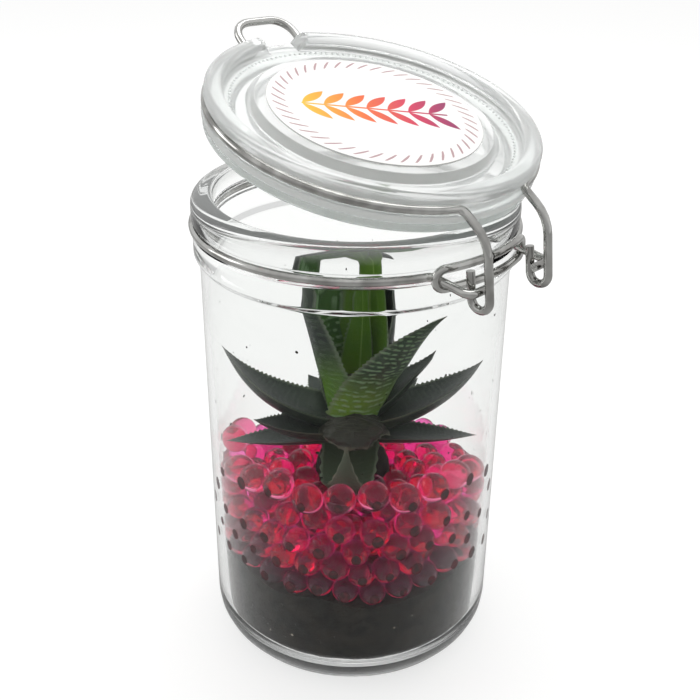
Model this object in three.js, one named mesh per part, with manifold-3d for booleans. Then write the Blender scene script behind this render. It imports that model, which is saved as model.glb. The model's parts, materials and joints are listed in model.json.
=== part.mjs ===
// A clip-top glass jar planted as a terrarium: soil, gel beads and a succulent under a wire-hinged lid.
// Millimetres, +Z up. The origin is the middle of the flat base, and +X points to the lid's hinge.
import * as THREE from 'three';
import { mergeVertices } from 'three/addons/utils/BufferGeometryUtils.js';
import Module from 'manifold-3d';

const wasm = await Module();
wasm.setup();

// Fits
const SEAT_GAP = 0.3;
const HOOK_PLAY = 0.6;
const PLUG_PLAY = 2.5;

// Glass jar
const BODY_RADIUS = 50;
const WALL = 3.2;
const BASE_THICKNESS = 7;
const HEEL_RADIUS = 12;
const INNER_HEEL_RADIUS = 8;
const JAR_HEIGHT = 164.5;
const NECK_HEIGHT = 20.9;
const SHOULDER_HEIGHT = 2;
const NECK_TAPER = 22;
const COLLAR_FLARE = 1.8;
const RIM_FLARE = 2;
const RIM_ROUNDING = 3.3;
const MOUTH_ROUNDING = 1.5;
const NECK_WALL = 6.8;
const NECK_GROOVE_DROP = 9.9;
const NECK_GROOVE_DEPTH = 1.8;

// Steel wires
const WIRE_DIAMETER = 2.6;
const PIN_REACH = 7.5;
const PIN_DROP = 1.6;
const PIN_TIP_LENGTH = 7;
const PIN_OVERHANG = 3.2;
const HOOK_SPACING = 27;
const HOOK_DROP = 2.4;
const HOOK_TAIL = 5.5;
const ARM_LEG = 15;
const ARM_LEAN = THREE.MathUtils.degToRad(22);
const ARM_BEND = 12;
const WIRE_BEND = 2.6;
const LINK_LENGTH = 40;
const LINK_HEIGHT = 6;
const LINK_BUTT_GAP = 0.5;
const LOOP_WIDTH = 22;
const LOOP_DEPTH = 12;
const LOOP_BEND = 7;
const LOOP_LIFT = THREE.MathUtils.degToRad(20);
const LOOP_SWING = THREE.MathUtils.degToRad(4.5);

// Pressed glass lid, its seal and its label
const LID_INSET = 0.7;
const SEAL_THICKNESS = 2.7;
const SEAL_INSET = 0.7;
const FLANGE_HEIGHT = 2.6;
const LID_GROOVE_HEIGHT = 3.4;
const LID_GROOVE_DEPTH = 2.5;
const BEAD_HEIGHT = 3.6;
const BEAD_WIDTH = 5.6;
const BEAD_ROUNDING = 1.8;
const RECESS_DEPTH = 4.5;
const PANEL_RADIUS = 36.5;
const PANEL_RISE = 2.2;
const PANEL_THICKNESS = 6;
const PLUG_DEPTH = 5.8;
const PLUG_WALL = 6;
const NOTCH_WIDTH = 14;
const LABEL_MARGIN = 3.5;
const LABEL_THICKNESS = 0.3;
const LID_OPENING = THREE.MathUtils.degToRad(15);

// Soil, beads and plant
const SOIL_DEPTH = 28.7;
const GEL_BEAD_RADIUS = 5;
const BEAD_RINGS = 4;
const ROOT_BALL_RADIUS = 14;
const ROOT_BALL_DEPTH = 26;
const ROOT_BALL_CROWN = 1.6;
const STEM_RADIUS = 8;
const STEM_TOP_RADIUS = 4.5;
const STEM_HEIGHT = 26;
const LEAF_ROOT_DEPTH = 2;
const LEAF_WIDTH = 20;
const LEAF_KEEL_RATIO = 0.2;
const LEAF_UNFOLDING = 0.4;
const LEAF_TAPER = 2.2;
const LEAF_POINT = 1.2;
const LEAF_TIP_RADIUS = 0.3;
const LEAF_MARGIN_GROWTH = 3;
const PLANT_HEIGHT = 68;
// Every leaf: heading in degrees from +X, then shares: its root's height on the stem, its tip's reach to the
// glass, its tip's height on the plant, its width, and how far out and how high its bend lies. Then the angle
// of half of its fold, below 0 for edges rolled under, and the share of its width that is left at its tip.
const LEAVES = [
  ['leaf_heart_right', 100, 0.88, 0.12, 0.88, 0.7, 0.6, 0.5, 0.8, 0.02],
  ['leaf_heart_left', 100, 0.8, 0.28, 1.0, 1.35, 0.5, 0.5, 0.8, 0.02],
  ['leaf_upright_right', 75, 0.69, 0.34, 0.86, 0.95, 0.7, 0.4, 1.2, 0.02],
  ['leaf_upright_left', 208, 0.62, 0.54, 1.03, 1.45, 0.25, 0.6, 1.4, 0.02],
  ['leaf_banded', 8, 0.55, 0.745, 0.855, 1.5, 0.34, 0.66, 0.7, 0.02],
  ['leaf_right_inner', 62, 0.42, 0.62, 0.5, 0.9, 0.6, 0.4, 0.7, 0.02],
  ['leaf_back_left', 158, 0.38, 0.62, 0.52, 0.8, 0.6, 0.3, 0.6, 0.02],
  ['leaf_back_right', 112, 0.35, 0.78, 0.5, 0.8, 0.6, 0.3, 0.6, 0.02],
  ['leaf_big_left', 229, 0.36, 0.94, 0.55, 1.1, 0.7, 0.2, 0.7, 0.02],
  ['leaf_big_right', 47, 0.31, 0.94, 0.45, 1.1, 0.65, 0.25, 0.7, 0.02],
  ['leaf_back', 141, 0.27, 0.84, 0.4, 0.8, 0.6, 0.25, 0.6, 0.02],
  ['leaf_dry_front', 316, 0.62, 0.46, 0.12, 1.5, 0.8, -0.3, -1.4, 0.4],
  ['leaf_left_front', 252, 0.23, 0.78, 0.24, 1.0, 0.65, 0.3, 0.6, 0.02],
  ['leaf_front_pale', 310, 0.12, 0.52, 0.16, 0.95, 1.7, -2.5, 0.4, 0.02],
  ['leaf_low_left', 240, 0.13, 0.94, 0.065, 0.75, 0.6, 0.5, 0.5, 0.02],
  ['leaf_low_right', 32, 0.13, 0.91, 0.1, 0.75, 0.6, 0.5, 0.5, 0.02],
  ['leaf_low_back', 160, 0.13, 0.86, 0.125, 0.75, 0.6, 0.5, 0.5, 0.02],
  ['leaf_low_back_right', 98, 0.13, 0.86, 0.125, 0.75, 0.6, 0.5, 0.5, 0.02],
];
// The points round a leaf's section, each with its place from edge to edge, 1 if it lies below, and the two
// points whose middle it grows away from. Then the triangles that close the section.
const LEAF_SECTION = [
  [1, 0, 1, 5],
  [0.45, 0, 5, 5],
  [-0.45, 0, 4, 4],
  [-1, 0, 2, 4],
  [-0.45, 1, 2, 2],
  [0.45, 1, 1, 1],
];
const LEAF_CAP = [[0, 1, 5], [1, 2, 4], [1, 4, 5], [2, 3, 4]];
// Runs of loose beads along the glass: heading of the first in degrees, and how many lie side by side.
const LOOSE_BEAD_RUNS = [[209, 2], [252, 10]];

// Faceting
const ROUND_STEPS = 36;
const WIRE_SIDES = 8;
const WIRE_STEP = THREE.MathUtils.degToRad(30);
const RING_STEPS = 36;
const ARC_STEPS = 3;
const LEAF_STATIONS = 6;

// Worked-out sizes of the jar
const innerRadius = BODY_RADIUS - WALL;
const collarRadius = BODY_RADIUS + COLLAR_FLARE;
const rimRadius = BODY_RADIUS + RIM_FLARE;
const mouthRadius = collarRadius - NECK_WALL;
const shoulderZ = JAR_HEIGHT - NECK_HEIGHT;
const collarZ = shoulderZ + SHOULDER_HEIGHT;
const wireRadius = WIRE_DIAMETER / 2;
const neckWireZ = JAR_HEIGHT - NECK_GROOVE_DROP;
const neckGrooveRadius = collarRadius - NECK_GROOVE_DEPTH;
const neckWireRadius = neckGrooveRadius + SEAT_GAP + wireRadius;

// Worked-out places of the hinge
const linkRadius = neckWireRadius + WIRE_DIAMETER + SEAT_GAP;
const hookBend = WIRE_DIAMETER + HOOK_PLAY;
const hinge = new THREE.Vector3(linkRadius + PIN_REACH, 0, neckWireZ - PIN_DROP);

// Worked-out heights and radii of the lid, closed on the jar
const sealBottom = JAR_HEIGHT + SEAT_GAP;
const flangeBottom = sealBottom + SEAL_THICKNESS + SEAT_GAP;
const lidGrooveBottom = flangeBottom + FLANGE_HEIGHT;
const lidGrooveTop = lidGrooveBottom + LID_GROOVE_HEIGHT;
const lidTop = lidGrooveTop + BEAD_HEIGHT;
const recessZ = lidTop - RECESS_DEPTH;
const panelZ = recessZ + PANEL_RISE;
const lidRadius = rimRadius - LID_INSET;
const lidGrooveRadius = lidRadius - LID_GROOVE_DEPTH;
const lidWireRadius = lidGrooveRadius + SEAT_GAP + wireRadius;
const lidWireZ = (lidGrooveBottom + lidGrooveTop) / 2;
const plugRadius = mouthRadius - PLUG_PLAY;

// Worked-out levels of the planting
const contentsRadius = innerRadius - SEAT_GAP;
const soilTop = BASE_THICKNESS + SEAT_GAP + SOIL_DEPTH;
const beadRingRadius = contentsRadius - GEL_BEAD_RADIUS;
const beadsPerRing = Math.floor(2 * Math.PI * beadRingRadius / (2 * GEL_BEAD_RADIUS + SEAT_GAP));
const beadRingRise = GEL_BEAD_RADIUS * Math.sqrt(3);
const firstRingZ = soilTop + SEAT_GAP + GEL_BEAD_RADIUS;
const lastRingZ = firstRingZ + (BEAD_RINGS - 1) * beadRingRise;
const bedTop = lastRingZ + GEL_BEAD_RADIUS;
const rootBallTop = bedTop + ROOT_BALL_CROWN;
const stemBottom = rootBallTop + SEAT_GAP;

// Materials
const glass = new THREE.MeshStandardMaterial({
  color: 0xeef2f0, roughness: 0.05, transparent: true, opacity: 0.3,
});
const silicone = new THREE.MeshStandardMaterial({
  color: 0xe6e8e4, roughness: 0.5, transparent: true, opacity: 0.7,
});
const steel = new THREE.MeshStandardMaterial({ color: 0xb4b6b4, roughness: 0.25, metalness: 1 });
const paper = new THREE.MeshStandardMaterial({ color: 0xfbfaf8, roughness: 0.6 });
const earth = new THREE.MeshStandardMaterial({ color: 0x35322e, roughness: 0.95 });
const gel = new THREE.MeshStandardMaterial({ color: 0xd8305c, roughness: 0.1 });
const roots = new THREE.MeshStandardMaterial({ color: 0x6a5a44, roughness: 0.9 });
const leafGreen = new THREE.MeshStandardMaterial({ color: 0x24432c, roughness: 0.5 });

// A point at a radius, heading and height about the jar's axis
function around(radius, heading, z) {
  return new THREE.Vector3(radius * Math.cos(heading), radius * Math.sin(heading), z);
}

// Points of an arc in a profile, from one angle to another
function arc(x, y, radius, from, to) {
  const points = [];
  for (let i = 0; i <= ARC_STEPS; i += 1) {
    const angle = from + (to - from) * i / ARC_STEPS;
    points.push(new THREE.Vector2(x + radius * Math.cos(angle), y + radius * Math.sin(angle)));
  }
  return points;
}

function point(x, y) {
  return new THREE.Vector2(x, y);
}

// A profile turned about the Z axis
function turned(profile, steps = ROUND_STEPS) {
  return new THREE.LatheGeometry(profile, steps).rotateX(Math.PI / 2);
}

function piece(name, geometry, material) {
  const mesh = new THREE.Mesh(geometry, material);
  mesh.name = name;
  return mesh;
}

// A closed geometry as a solid that can be joined and cut
function toSolid(geometry) {
  const bare = geometry.clone();
  bare.deleteAttribute('normal');
  bare.deleteAttribute('uv');
  const merged = mergeVertices(bare);
  const corners = merged.index.array;
  const triangles = [];
  for (let i = 0; i < corners.length; i += 3) {
    const [a, b, c] = [corners[i], corners[i + 1], corners[i + 2]];
    if (a !== b && b !== c && c !== a) triangles.push(a, b, c);
  }
  return new wasm.Manifold(new wasm.Mesh({
    numProp: 3,
    vertProperties: new Float32Array(merged.attributes.position.array),
    triVerts: new Uint32Array(triangles),
  }));
}

function fromSolid(solid) {
  const { vertProperties, triVerts } = solid.getMesh();
  const geometry = new THREE.BufferGeometry();
  geometry.setAttribute('position', new THREE.BufferAttribute(vertProperties, 3));
  geometry.setIndex(new THREE.BufferAttribute(triVerts, 1));
  geometry.computeVertexNormals();
  return geometry;
}

// A wire's centre line through corners, each [place, bend radius]; a bend radius of 0 keeps the corner.
function bent(corners) {
  const line = [corners[0][0]];
  for (let i = 1; i < corners.length - 1; i += 1) {
    const [corner, radius] = corners[i];
    const back = corners[i - 1][0].clone().sub(corner).normalize();
    const ahead = corners[i + 1][0].clone().sub(corner).normalize();
    const half = back.angleTo(ahead) / 2;
    const turn = Math.PI - 2 * half;
    if (radius === 0 || turn < 0.01) {
      line.push(corner);
      continue;
    }
    const setback = radius / Math.tan(half);
    const centre = back.clone().add(ahead).setLength(radius / Math.sin(half)).add(corner);
    const start = back.clone().multiplyScalar(setback).add(corner).sub(centre);
    const end = ahead.clone().multiplyScalar(setback).add(corner).sub(centre);
    const steps = Math.max(2, Math.ceil(turn / WIRE_STEP));
    for (let k = 0; k <= steps; k += 1) {
      const near = Math.sin((1 - k / steps) * turn) / Math.sin(turn);
      const far = Math.sin(k / steps * turn) / Math.sin(turn);
      line.push(centre.clone().addScaledVector(start, near).addScaledVector(end, far));
    }
  }
  line.push(corners[corners.length - 1][0]);
  return line;
}

// A curve that steps from point to point of a bent line
class WireLine extends THREE.Curve {
  constructor(points) {
    super();
    this.points = points;
  }

  getPoint(t) {
    const place = t * (this.points.length - 1);
    const i = Math.min(Math.floor(place), this.points.length - 2);
    return this.points[i].clone().lerp(this.points[i + 1], place - i);
  }

  getSpacedPoints(divisions) {
    return this.getPoints(divisions);
  }

  getTangentAt(t) {
    const i = Math.round(t * (this.points.length - 1));
    const before = this.points[Math.max(i - 1, 0)];
    const after = this.points[Math.min(i + 1, this.points.length - 1)];
    return after.clone().sub(before).normalize();
  }
}

function wire(line) {
  const section = new THREE.Shape().absarc(0, 0, wireRadius, 0, 2 * Math.PI);
  return new THREE.ExtrudeGeometry(section, {
    steps: line.length - 1,
    curveSegments: WIRE_SIDES / 2,
    extrudePath: new WireLine(line),
  });
}

// Corners along a ring about the Z axis, with no bends of their own
function ringCorners(radius, z, from, to) {
  const count = Math.max(1, Math.round(Math.abs(to - from) / (2 * Math.PI) * RING_STEPS));
  const corners = [];
  for (let i = 1; i < count; i += 1) {
    corners.push([around(radius, from + (to - from) * i / count, z), 0]);
  }
  return corners;
}

// The jar: a straight body on a rounded heel, a thick collar with the neck wire's groove, and a round rim
function jarGeometry() {
  const grooveHalf = wireRadius + SEAT_GAP;
  const innerHeelTop = BASE_THICKNESS + INNER_HEEL_RADIUS;
  return turned([
    point(0, 0),
    ...arc(BODY_RADIUS - HEEL_RADIUS, HEEL_RADIUS, HEEL_RADIUS, -Math.PI / 2, 0),
    point(BODY_RADIUS, shoulderZ),
    point(collarRadius, collarZ),
    point(collarRadius, neckWireZ - grooveHalf - SEAT_GAP),
    point(neckGrooveRadius, neckWireZ - grooveHalf),
    point(neckGrooveRadius, neckWireZ + grooveHalf),
    point(rimRadius, neckWireZ + grooveHalf + SEAT_GAP),
    ...arc(rimRadius - RIM_ROUNDING, JAR_HEIGHT - RIM_ROUNDING, RIM_ROUNDING, 0, Math.PI / 2),
    ...arc(mouthRadius + MOUTH_ROUNDING, JAR_HEIGHT - MOUTH_ROUNDING, MOUTH_ROUNDING, Math.PI / 2, Math.PI),
    point(mouthRadius, collarZ),
    point(innerRadius, collarZ - NECK_TAPER),
    ...arc(innerRadius - INNER_HEEL_RADIUS, innerHeelTop, INNER_HEEL_RADIUS, 0, -Math.PI / 2),
    point(0, BASE_THICKNESS),
  ]);
}

function soilGeometry() {
  const heel = INNER_HEEL_RADIUS - SEAT_GAP;
  return turned([
    point(0, BASE_THICKNESS + SEAT_GAP),
    ...arc(innerRadius - INNER_HEEL_RADIUS, BASE_THICKNESS + INNER_HEEL_RADIUS, heel, -Math.PI / 2, 0),
    point(contentsRadius, soilTop),
    point(0, soilTop),
  ]);
}

// The packed beads: a core with a pit for the roots, and rings of beads along the glass and over the top
function beadBedGeometry() {
  const coreRadius = beadRingRadius - GEL_BEAD_RADIUS / 2;
  const pitRadius = ROOT_BALL_RADIUS + SEAT_GAP;
  const pitZ = rootBallTop - ROOT_BALL_DEPTH - SEAT_GAP;
  let bed = toSolid(turned([
    point(0, soilTop + SEAT_GAP),
    point(coreRadius, soilTop + SEAT_GAP),
    point(coreRadius, lastRingZ),
    point(pitRadius, lastRingZ),
    point(pitRadius, pitZ),
    point(0, pitZ),
  ], ROUND_STEPS / 2));
  const gelBead = new THREE.IcosahedronGeometry(GEL_BEAD_RADIUS, 0);
  const addRing = (radius, z, count, offset) => {
    for (let i = 0; i < count; i += 1) {
      const place = around(radius, 2 * Math.PI * (i + offset) / count, z);
      bed = bed.add(toSolid(gelBead.clone().translate(place.x, place.y, place.z)));
    }
  };
  for (let ring = 0; ring < BEAD_RINGS; ring += 1) {
    addRing(beadRingRadius, firstRingZ + ring * beadRingRise, beadsPerRing, (BEAD_RINGS - 1 - ring) / 2);
  }
  const spacing = 2 * GEL_BEAD_RADIUS + SEAT_GAP;
  for (let radius = beadRingRadius - spacing; radius > pitRadius + GEL_BEAD_RADIUS; radius -= spacing) {
    addRing(radius, lastRingZ, Math.floor(2 * Math.PI * radius / spacing), 0);
  }
  return fromSolid(bed);
}

// Loose beads in the hollows between the beads of the top ring, against the glass
function looseBeads() {
  const reach = 2 * GEL_BEAD_RADIUS + SEAT_GAP;
  const step = 2 * Math.PI / beadsPerRing;
  const halfChord = beadRingRadius * Math.sin(step / 2);
  const z = lastRingZ + Math.sqrt(reach * reach - halfChord * halfChord);
  const beads = [];
  for (const [heading, count] of LOOSE_BEAD_RUNS) {
    const firstSlot = Math.floor(THREE.MathUtils.degToRad(heading) / step);
    for (let i = 0; i < count; i += 1) {
      const ball = new THREE.IcosahedronGeometry(GEL_BEAD_RADIUS, 1);
      const bead = piece(`gel_bead_${beads.length + 1}`, ball, gel);
      bead.position.copy(around(beadRingRadius, (firstSlot + i + 0.5) * step, z));
      beads.push(bead);
    }
  }
  return beads;
}

function rootBallGeometry() {
  const bottom = rootBallTop - ROOT_BALL_DEPTH;
  const rounding = ROOT_BALL_RADIUS / 2;
  const crownRadius = ROOT_BALL_RADIUS - ROOT_BALL_CROWN;
  return turned([
    point(0, bottom),
    ...arc(ROOT_BALL_RADIUS - rounding, bottom + rounding, rounding, -Math.PI / 2, 0),
    ...arc(crownRadius, rootBallTop - ROOT_BALL_CROWN, ROOT_BALL_CROWN, 0, Math.PI / 2),
    point(0, rootBallTop),
  ], ROUND_STEPS / 2);
}

function stemGeometry(growth) {
  return turned([
    point(0, stemBottom - growth),
    point(STEM_RADIUS + growth, stemBottom - growth),
    point(STEM_TOP_RADIUS + growth, stemBottom + STEM_HEIGHT + growth),
    point(0, stemBottom + STEM_HEIGHT + growth),
  ], ROUND_STEPS / 2);
}

// One leaf: a folded, pointed blade, keeled below, along a bent spine out of the stem, grown all round
function leafGeometry(leaf, growth) {
  const [, heading, rootShare, reachShare, tipShare, widthShare, bendOut, bendUp, fold, blunt] = leaf;
  const z = stemBottom + rootShare * STEM_HEIGHT;
  const rise = stemBottom + tipShare * PLANT_HEIGHT - z;
  const reach = reachShare * contentsRadius;
  const width = widthShare * LEAF_WIDTH;
  const start = STEM_RADIUS + (STEM_TOP_RADIUS - STEM_RADIUS) * rootShare - LEAF_ROOT_DEPTH;
  const sideways = new THREE.Vector3(0, 1, 0);
  const spine = new THREE.QuadraticBezierCurve3(
    new THREE.Vector3(start, 0, z),
    new THREE.Vector3(start + (reach - start) * bendOut, 0, z + rise * bendUp),
    new THREE.Vector3(reach, 0, z + rise),
  );
  const positions = [];
  for (let i = 0; i <= LEAF_STATIONS; i += 1) {
    const t = i / LEAF_STATIONS;
    const swell = (1 - t ** LEAF_TAPER) ** LEAF_POINT + blunt * t;
    const halfFold = fold * (1 - LEAF_UNFOLDING * t);
    const curl = width / 2 * swell / halfFold;
    const tangent = spine.getTangent(t);
    const normal = new THREE.Vector3().crossVectors(tangent, sideways);
    const last = i === LEAF_STATIONS;
    const lengthen = last ? growth : (i === 0 ? -growth : 0);
    const centre = spine.getPoint(t).addScaledVector(tangent, lengthen);
    const out = last ? growth + LEAF_TIP_RADIUS : growth;
    const section = LEAF_SECTION.map(([side, below]) => {
      const angle = side * halfFold;
      const keel = below * LEAF_KEEL_RATIO * width * swell * (1 - side * side);
      return point((curl + keel) * Math.sin(angle), curl * (1 - Math.cos(angle)) - keel * Math.cos(angle));
    });
    LEAF_SECTION.forEach(([side, , first, second], k) => {
      const middle = section[first].clone().lerp(section[second], 0.5);
      const spread = Math.abs(side) === 1 ? LEAF_MARGIN_GROWTH * out : out;
      const place = section[k].clone().sub(middle).setLength(spread).add(section[k]);
      positions.push(centre.clone().addScaledVector(sideways, place.x).addScaledVector(normal, place.y));
    });
  }
  const sides = LEAF_SECTION.length;
  const index = [];
  for (let i = 0; i < LEAF_STATIONS; i += 1) {
    for (let k = 0; k < sides; k += 1) {
      const a = i * sides + k;
      const b = i * sides + (k + 1) % sides;
      index.push(a, b, a + sides, b, b + sides, a + sides);
    }
  }
  const tip = LEAF_STATIONS * sides;
  for (const [a, b, c] of LEAF_CAP) {
    index.push(a, c, b, tip + a, tip + b, tip + c);
  }
  const geometry = new THREE.BufferGeometry().setFromPoints(positions);
  geometry.setIndex(index);
  return geometry.rotateZ(THREE.MathUtils.degToRad(heading));
}

// The rosette: inner leaves keep their whole blade, and each outer one is cut clear of the bed, the stem and
// them. Where a cut parts a blade, its largest part is the leaf.
function leafPieces() {
  const bed = toSolid(turned([
    point(0, soilTop),
    point(innerRadius, soilTop),
    point(innerRadius, stemBottom),
    point(0, stemBottom),
  ]));
  let taken = toSolid(stemGeometry(SEAT_GAP)).add(bed);
  return LEAVES.map((leaf) => {
    const parts = toSolid(leafGeometry(leaf, 0)).subtract(taken).decompose();
    const blade = parts.reduce((largest, part) => (part.volume() > largest.volume() ? part : largest));
    taken = taken.add(toSolid(leafGeometry(leaf, SEAT_GAP)));
    return piece(leaf[0], fromSolid(blade), leafGreen);
  });
}

// The neck wire: a ring in the jar's groove whose two ends turn out through the link as the hinge pins
function neckWireGeometry() {
  const linkEnd = LINK_LENGTH / 2 / linkRadius;
  const turnAngle = linkEnd - (WIRE_DIAMETER + SEAT_GAP) / linkRadius;
  const pinY = HOOK_SPACING / 2 + wireRadius + PIN_OVERHANG;
  const end = (side) => [
    [new THREE.Vector3(hinge.x, side * (pinY - PIN_TIP_LENGTH), hinge.z), 0],
    [new THREE.Vector3(hinge.x, side * pinY, hinge.z), WIRE_BEND],
    [new THREE.Vector3(linkRadius + wireRadius, side * pinY, neckWireZ), WIRE_BEND],
    [around(neckWireRadius, side * turnAngle, neckWireZ), WIRE_BEND],
  ];
  return wire(bent([
    ...end(1),
    ...ringCorners(neckWireRadius, neckWireZ, turnAngle, 2 * Math.PI - turnAngle),
    ...end(-1).reverse(),
  ]));
}

// The link: a racetrack of wire lying round the neck that ties the neck wire's two ends together
function linkGeometry() {
  const half = LINK_LENGTH / 2;
  const rise = LINK_HEIGHT / 2;
  const flat = (s, z) => new THREE.Vector3(0, s, neckWireZ + z);
  const run = (from, to, z) => {
    const count = Math.max(2, Math.round(RING_STEPS * Math.abs(to - from) / (2 * Math.PI * linkRadius)) + 2);
    return Array.from({ length: count - 1 }, (_, i) => [flat(from + (to - from) * (i + 1) / count, z), 0]);
  };
  const butt = LINK_BUTT_GAP / 2;
  const inner = half - LINK_HEIGHT;
  const line = bent([
    [flat(butt, rise), 0],
    ...run(butt, inner, rise),
    [flat(half, rise), rise],
    [flat(half, -rise), rise],
    ...run(inner, -inner, -rise),
    [flat(-half, -rise), rise],
    [flat(-half, rise), rise],
    ...run(-inner, -butt, rise),
    [flat(-butt, rise), 0],
  ]);
  return wire(line.map((place) => around(linkRadius, place.y / linkRadius, place.z)));
}

// The lid: a flange over the seal, a groove for its wire, a round bead about a labelled panel, a plug below
function lidGeometry() {
  const panelBottom = panelZ - PANEL_THICKNESS;
  const plugBottom = flangeBottom - PLUG_DEPTH;
  const beadInner = lidRadius - BEAD_WIDTH;
  const body = toSolid(turned([
    point(0, panelBottom),
    point(plugRadius - PLUG_WALL, panelBottom),
    point(plugRadius - PLUG_WALL, plugBottom),
    point(plugRadius - SEAT_GAP, plugBottom),
    point(plugRadius, flangeBottom),
    point(lidRadius, flangeBottom),
    point(lidRadius, lidGrooveBottom),
    point(lidGrooveRadius, lidGrooveBottom + SEAT_GAP),
    point(lidGrooveRadius, lidGrooveTop - SEAT_GAP),
    point(lidRadius, lidGrooveTop),
    ...arc(lidRadius - BEAD_ROUNDING, lidTop - BEAD_ROUNDING, BEAD_ROUNDING, 0, Math.PI / 2),
    ...arc(beadInner + BEAD_ROUNDING, lidTop - BEAD_ROUNDING, BEAD_ROUNDING, Math.PI / 2, Math.PI),
    point(beadInner, recessZ),
    point(PANEL_RADIUS + PANEL_RISE, recessZ),
    point(PANEL_RADIUS, panelZ),
    point(0, panelZ),
  ]));
  const notch = new THREE.BoxGeometry(3 * BEAD_WIDTH, NOTCH_WIDTH, 2 * RECESS_DEPTH);
  notch.translate(-lidRadius, 0, recessZ + RECESS_DEPTH + SEAT_GAP).rotateZ(-LOOP_SWING);
  return fromSolid(body.subtract(toSolid(notch)));
}

function sealGeometry() {
  const inner = plugRadius + SEAT_GAP;
  const outer = lidRadius - SEAL_INSET;
  const top = sealBottom + SEAL_THICKNESS;
  return turned([
    point(inner, sealBottom),
    point(outer, sealBottom),
    point(outer, top),
    point(inner, top),
    point(inner, sealBottom),
  ]);
}

function labelGeometry() {
  const bottom = panelZ + SEAT_GAP;
  const radius = PANEL_RADIUS - LABEL_MARGIN;
  return turned([
    point(0, bottom),
    point(radius, bottom),
    point(radius, bottom + LABEL_THICKNESS),
    point(0, bottom + LABEL_THICKNESS),
  ]);
}

// The lid wire: a ring in the lid's groove with a lifting loop, and two arms that end in hooks on the pins
function lidWireGeometry() {
  const hookY = HOOK_SPACING / 2;
  const rootAngle = Math.asin(hookY / lidWireRadius);
  const loopHeading = Math.PI - LOOP_SWING;
  const loopSpread = Math.asin(LOOP_WIDTH / 2 / lidWireRadius);
  const loopFoot = lidWireRadius * Math.cos(loopSpread);
  const loopReach = lidWireRadius + LOOP_DEPTH - loopFoot;
  const upward = new THREE.Vector3(0, 0, 1);
  const up = new THREE.Vector3(-Math.sin(ARM_LEAN), 0, Math.cos(ARM_LEAN));
  const out = new THREE.Vector3(Math.cos(ARM_LEAN), 0, Math.sin(ARM_LEAN));
  const onHook = (side, across, along) => hinge.clone()
    .addScaledVector(out, across)
    .addScaledVector(up, along)
    .setY(side * hookY);
  const arm = (side) => [
    [onHook(side, -hookBend, HOOK_TAIL), 0],
    [onHook(side, -hookBend, -HOOK_DROP - hookBend), hookBend],
    [onHook(side, hookBend, -HOOK_DROP - hookBend), hookBend],
    [onHook(side, hookBend, ARM_LEG), ARM_BEND],
    [around(lidWireRadius, side * rootAngle, lidWireZ), WIRE_BEND],
  ];
  const loopCorner = (side) => new THREE.Vector3(
    loopFoot + loopReach * Math.cos(LOOP_LIFT),
    side * LOOP_WIDTH / 2,
    lidWireZ + loopReach * Math.sin(LOOP_LIFT),
  ).applyAxisAngle(upward, loopHeading);
  const loopStart = loopHeading - loopSpread;
  const loopEnd = loopHeading + loopSpread;
  return wire(bent([
    ...arm(1),
    ...ringCorners(lidWireRadius, lidWireZ, rootAngle, loopStart),
    [around(lidWireRadius, loopStart, lidWireZ), WIRE_BEND],
    [loopCorner(-1), LOOP_BEND],
    [loopCorner(1), LOOP_BEND],
    [around(lidWireRadius, loopEnd, lidWireZ), WIRE_BEND],
    ...ringCorners(lidWireRadius, lidWireZ, loopEnd, 2 * Math.PI - rootAngle),
    ...arm(-1).reverse(),
  ]));
}

// The lid's pieces, built closed and turned open about the hinge
function lidAssembly() {
  const closed = new THREE.Group();
  closed.position.copy(hinge).negate();
  closed.add(
    piece('lid', lidGeometry(), glass),
    piece('seal_ring', sealGeometry(), silicone),
    piece('lid_label', labelGeometry(), paper),
    piece('lid_wire', lidWireGeometry(), steel),
  );
  const opened = new THREE.Group();
  opened.position.copy(hinge);
  opened.rotation.y = LID_OPENING;
  opened.add(closed);
  return opened;
}

const terrarium = new THREE.Group();
terrarium.add(
  piece('jar', jarGeometry(), glass),
  piece('soil', soilGeometry(), earth),
  piece('bead_bed', beadBedGeometry(), gel),
  ...looseBeads(),
  piece('root_ball', rootBallGeometry(), roots),
  piece('stem', stemGeometry(0), leafGreen),
  ...leafPieces(),
  piece('neck_wire', neckWireGeometry(), steel),
  piece('hinge_link', linkGeometry(), steel),
  lidAssembly(),
);

export default terrarium;
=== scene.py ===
import json
import math
import random

import bmesh
import bpy
import numpy as np
from mathutils import Matrix, Vector, noise


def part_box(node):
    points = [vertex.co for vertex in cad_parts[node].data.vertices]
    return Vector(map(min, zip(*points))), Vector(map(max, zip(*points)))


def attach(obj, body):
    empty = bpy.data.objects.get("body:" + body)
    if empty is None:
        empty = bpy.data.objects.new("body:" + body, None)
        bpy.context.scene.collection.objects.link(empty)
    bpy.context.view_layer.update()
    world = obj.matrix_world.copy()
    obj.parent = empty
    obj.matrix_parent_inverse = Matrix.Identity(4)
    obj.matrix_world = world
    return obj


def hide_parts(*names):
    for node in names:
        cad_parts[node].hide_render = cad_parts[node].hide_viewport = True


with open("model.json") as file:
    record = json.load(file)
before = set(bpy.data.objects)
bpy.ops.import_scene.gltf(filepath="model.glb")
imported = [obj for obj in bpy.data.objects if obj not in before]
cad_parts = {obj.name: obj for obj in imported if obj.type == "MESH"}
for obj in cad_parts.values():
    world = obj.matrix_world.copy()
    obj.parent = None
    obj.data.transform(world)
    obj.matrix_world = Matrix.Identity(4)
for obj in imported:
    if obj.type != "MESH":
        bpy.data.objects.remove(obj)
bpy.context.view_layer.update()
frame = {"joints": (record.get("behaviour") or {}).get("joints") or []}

# The studio: a white floor that runs on far behind the jar, a broad soft lamp overhead and a paler one
# at the left, in a room that is white above and behind the jar and darker behind the camera. Its sizes are
# in metres, and those of the pieces below it in millimetres.
MM = 0.001
CAMERA_PLACE = Vector((0.2239, -0.2258, 0.2722))
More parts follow.
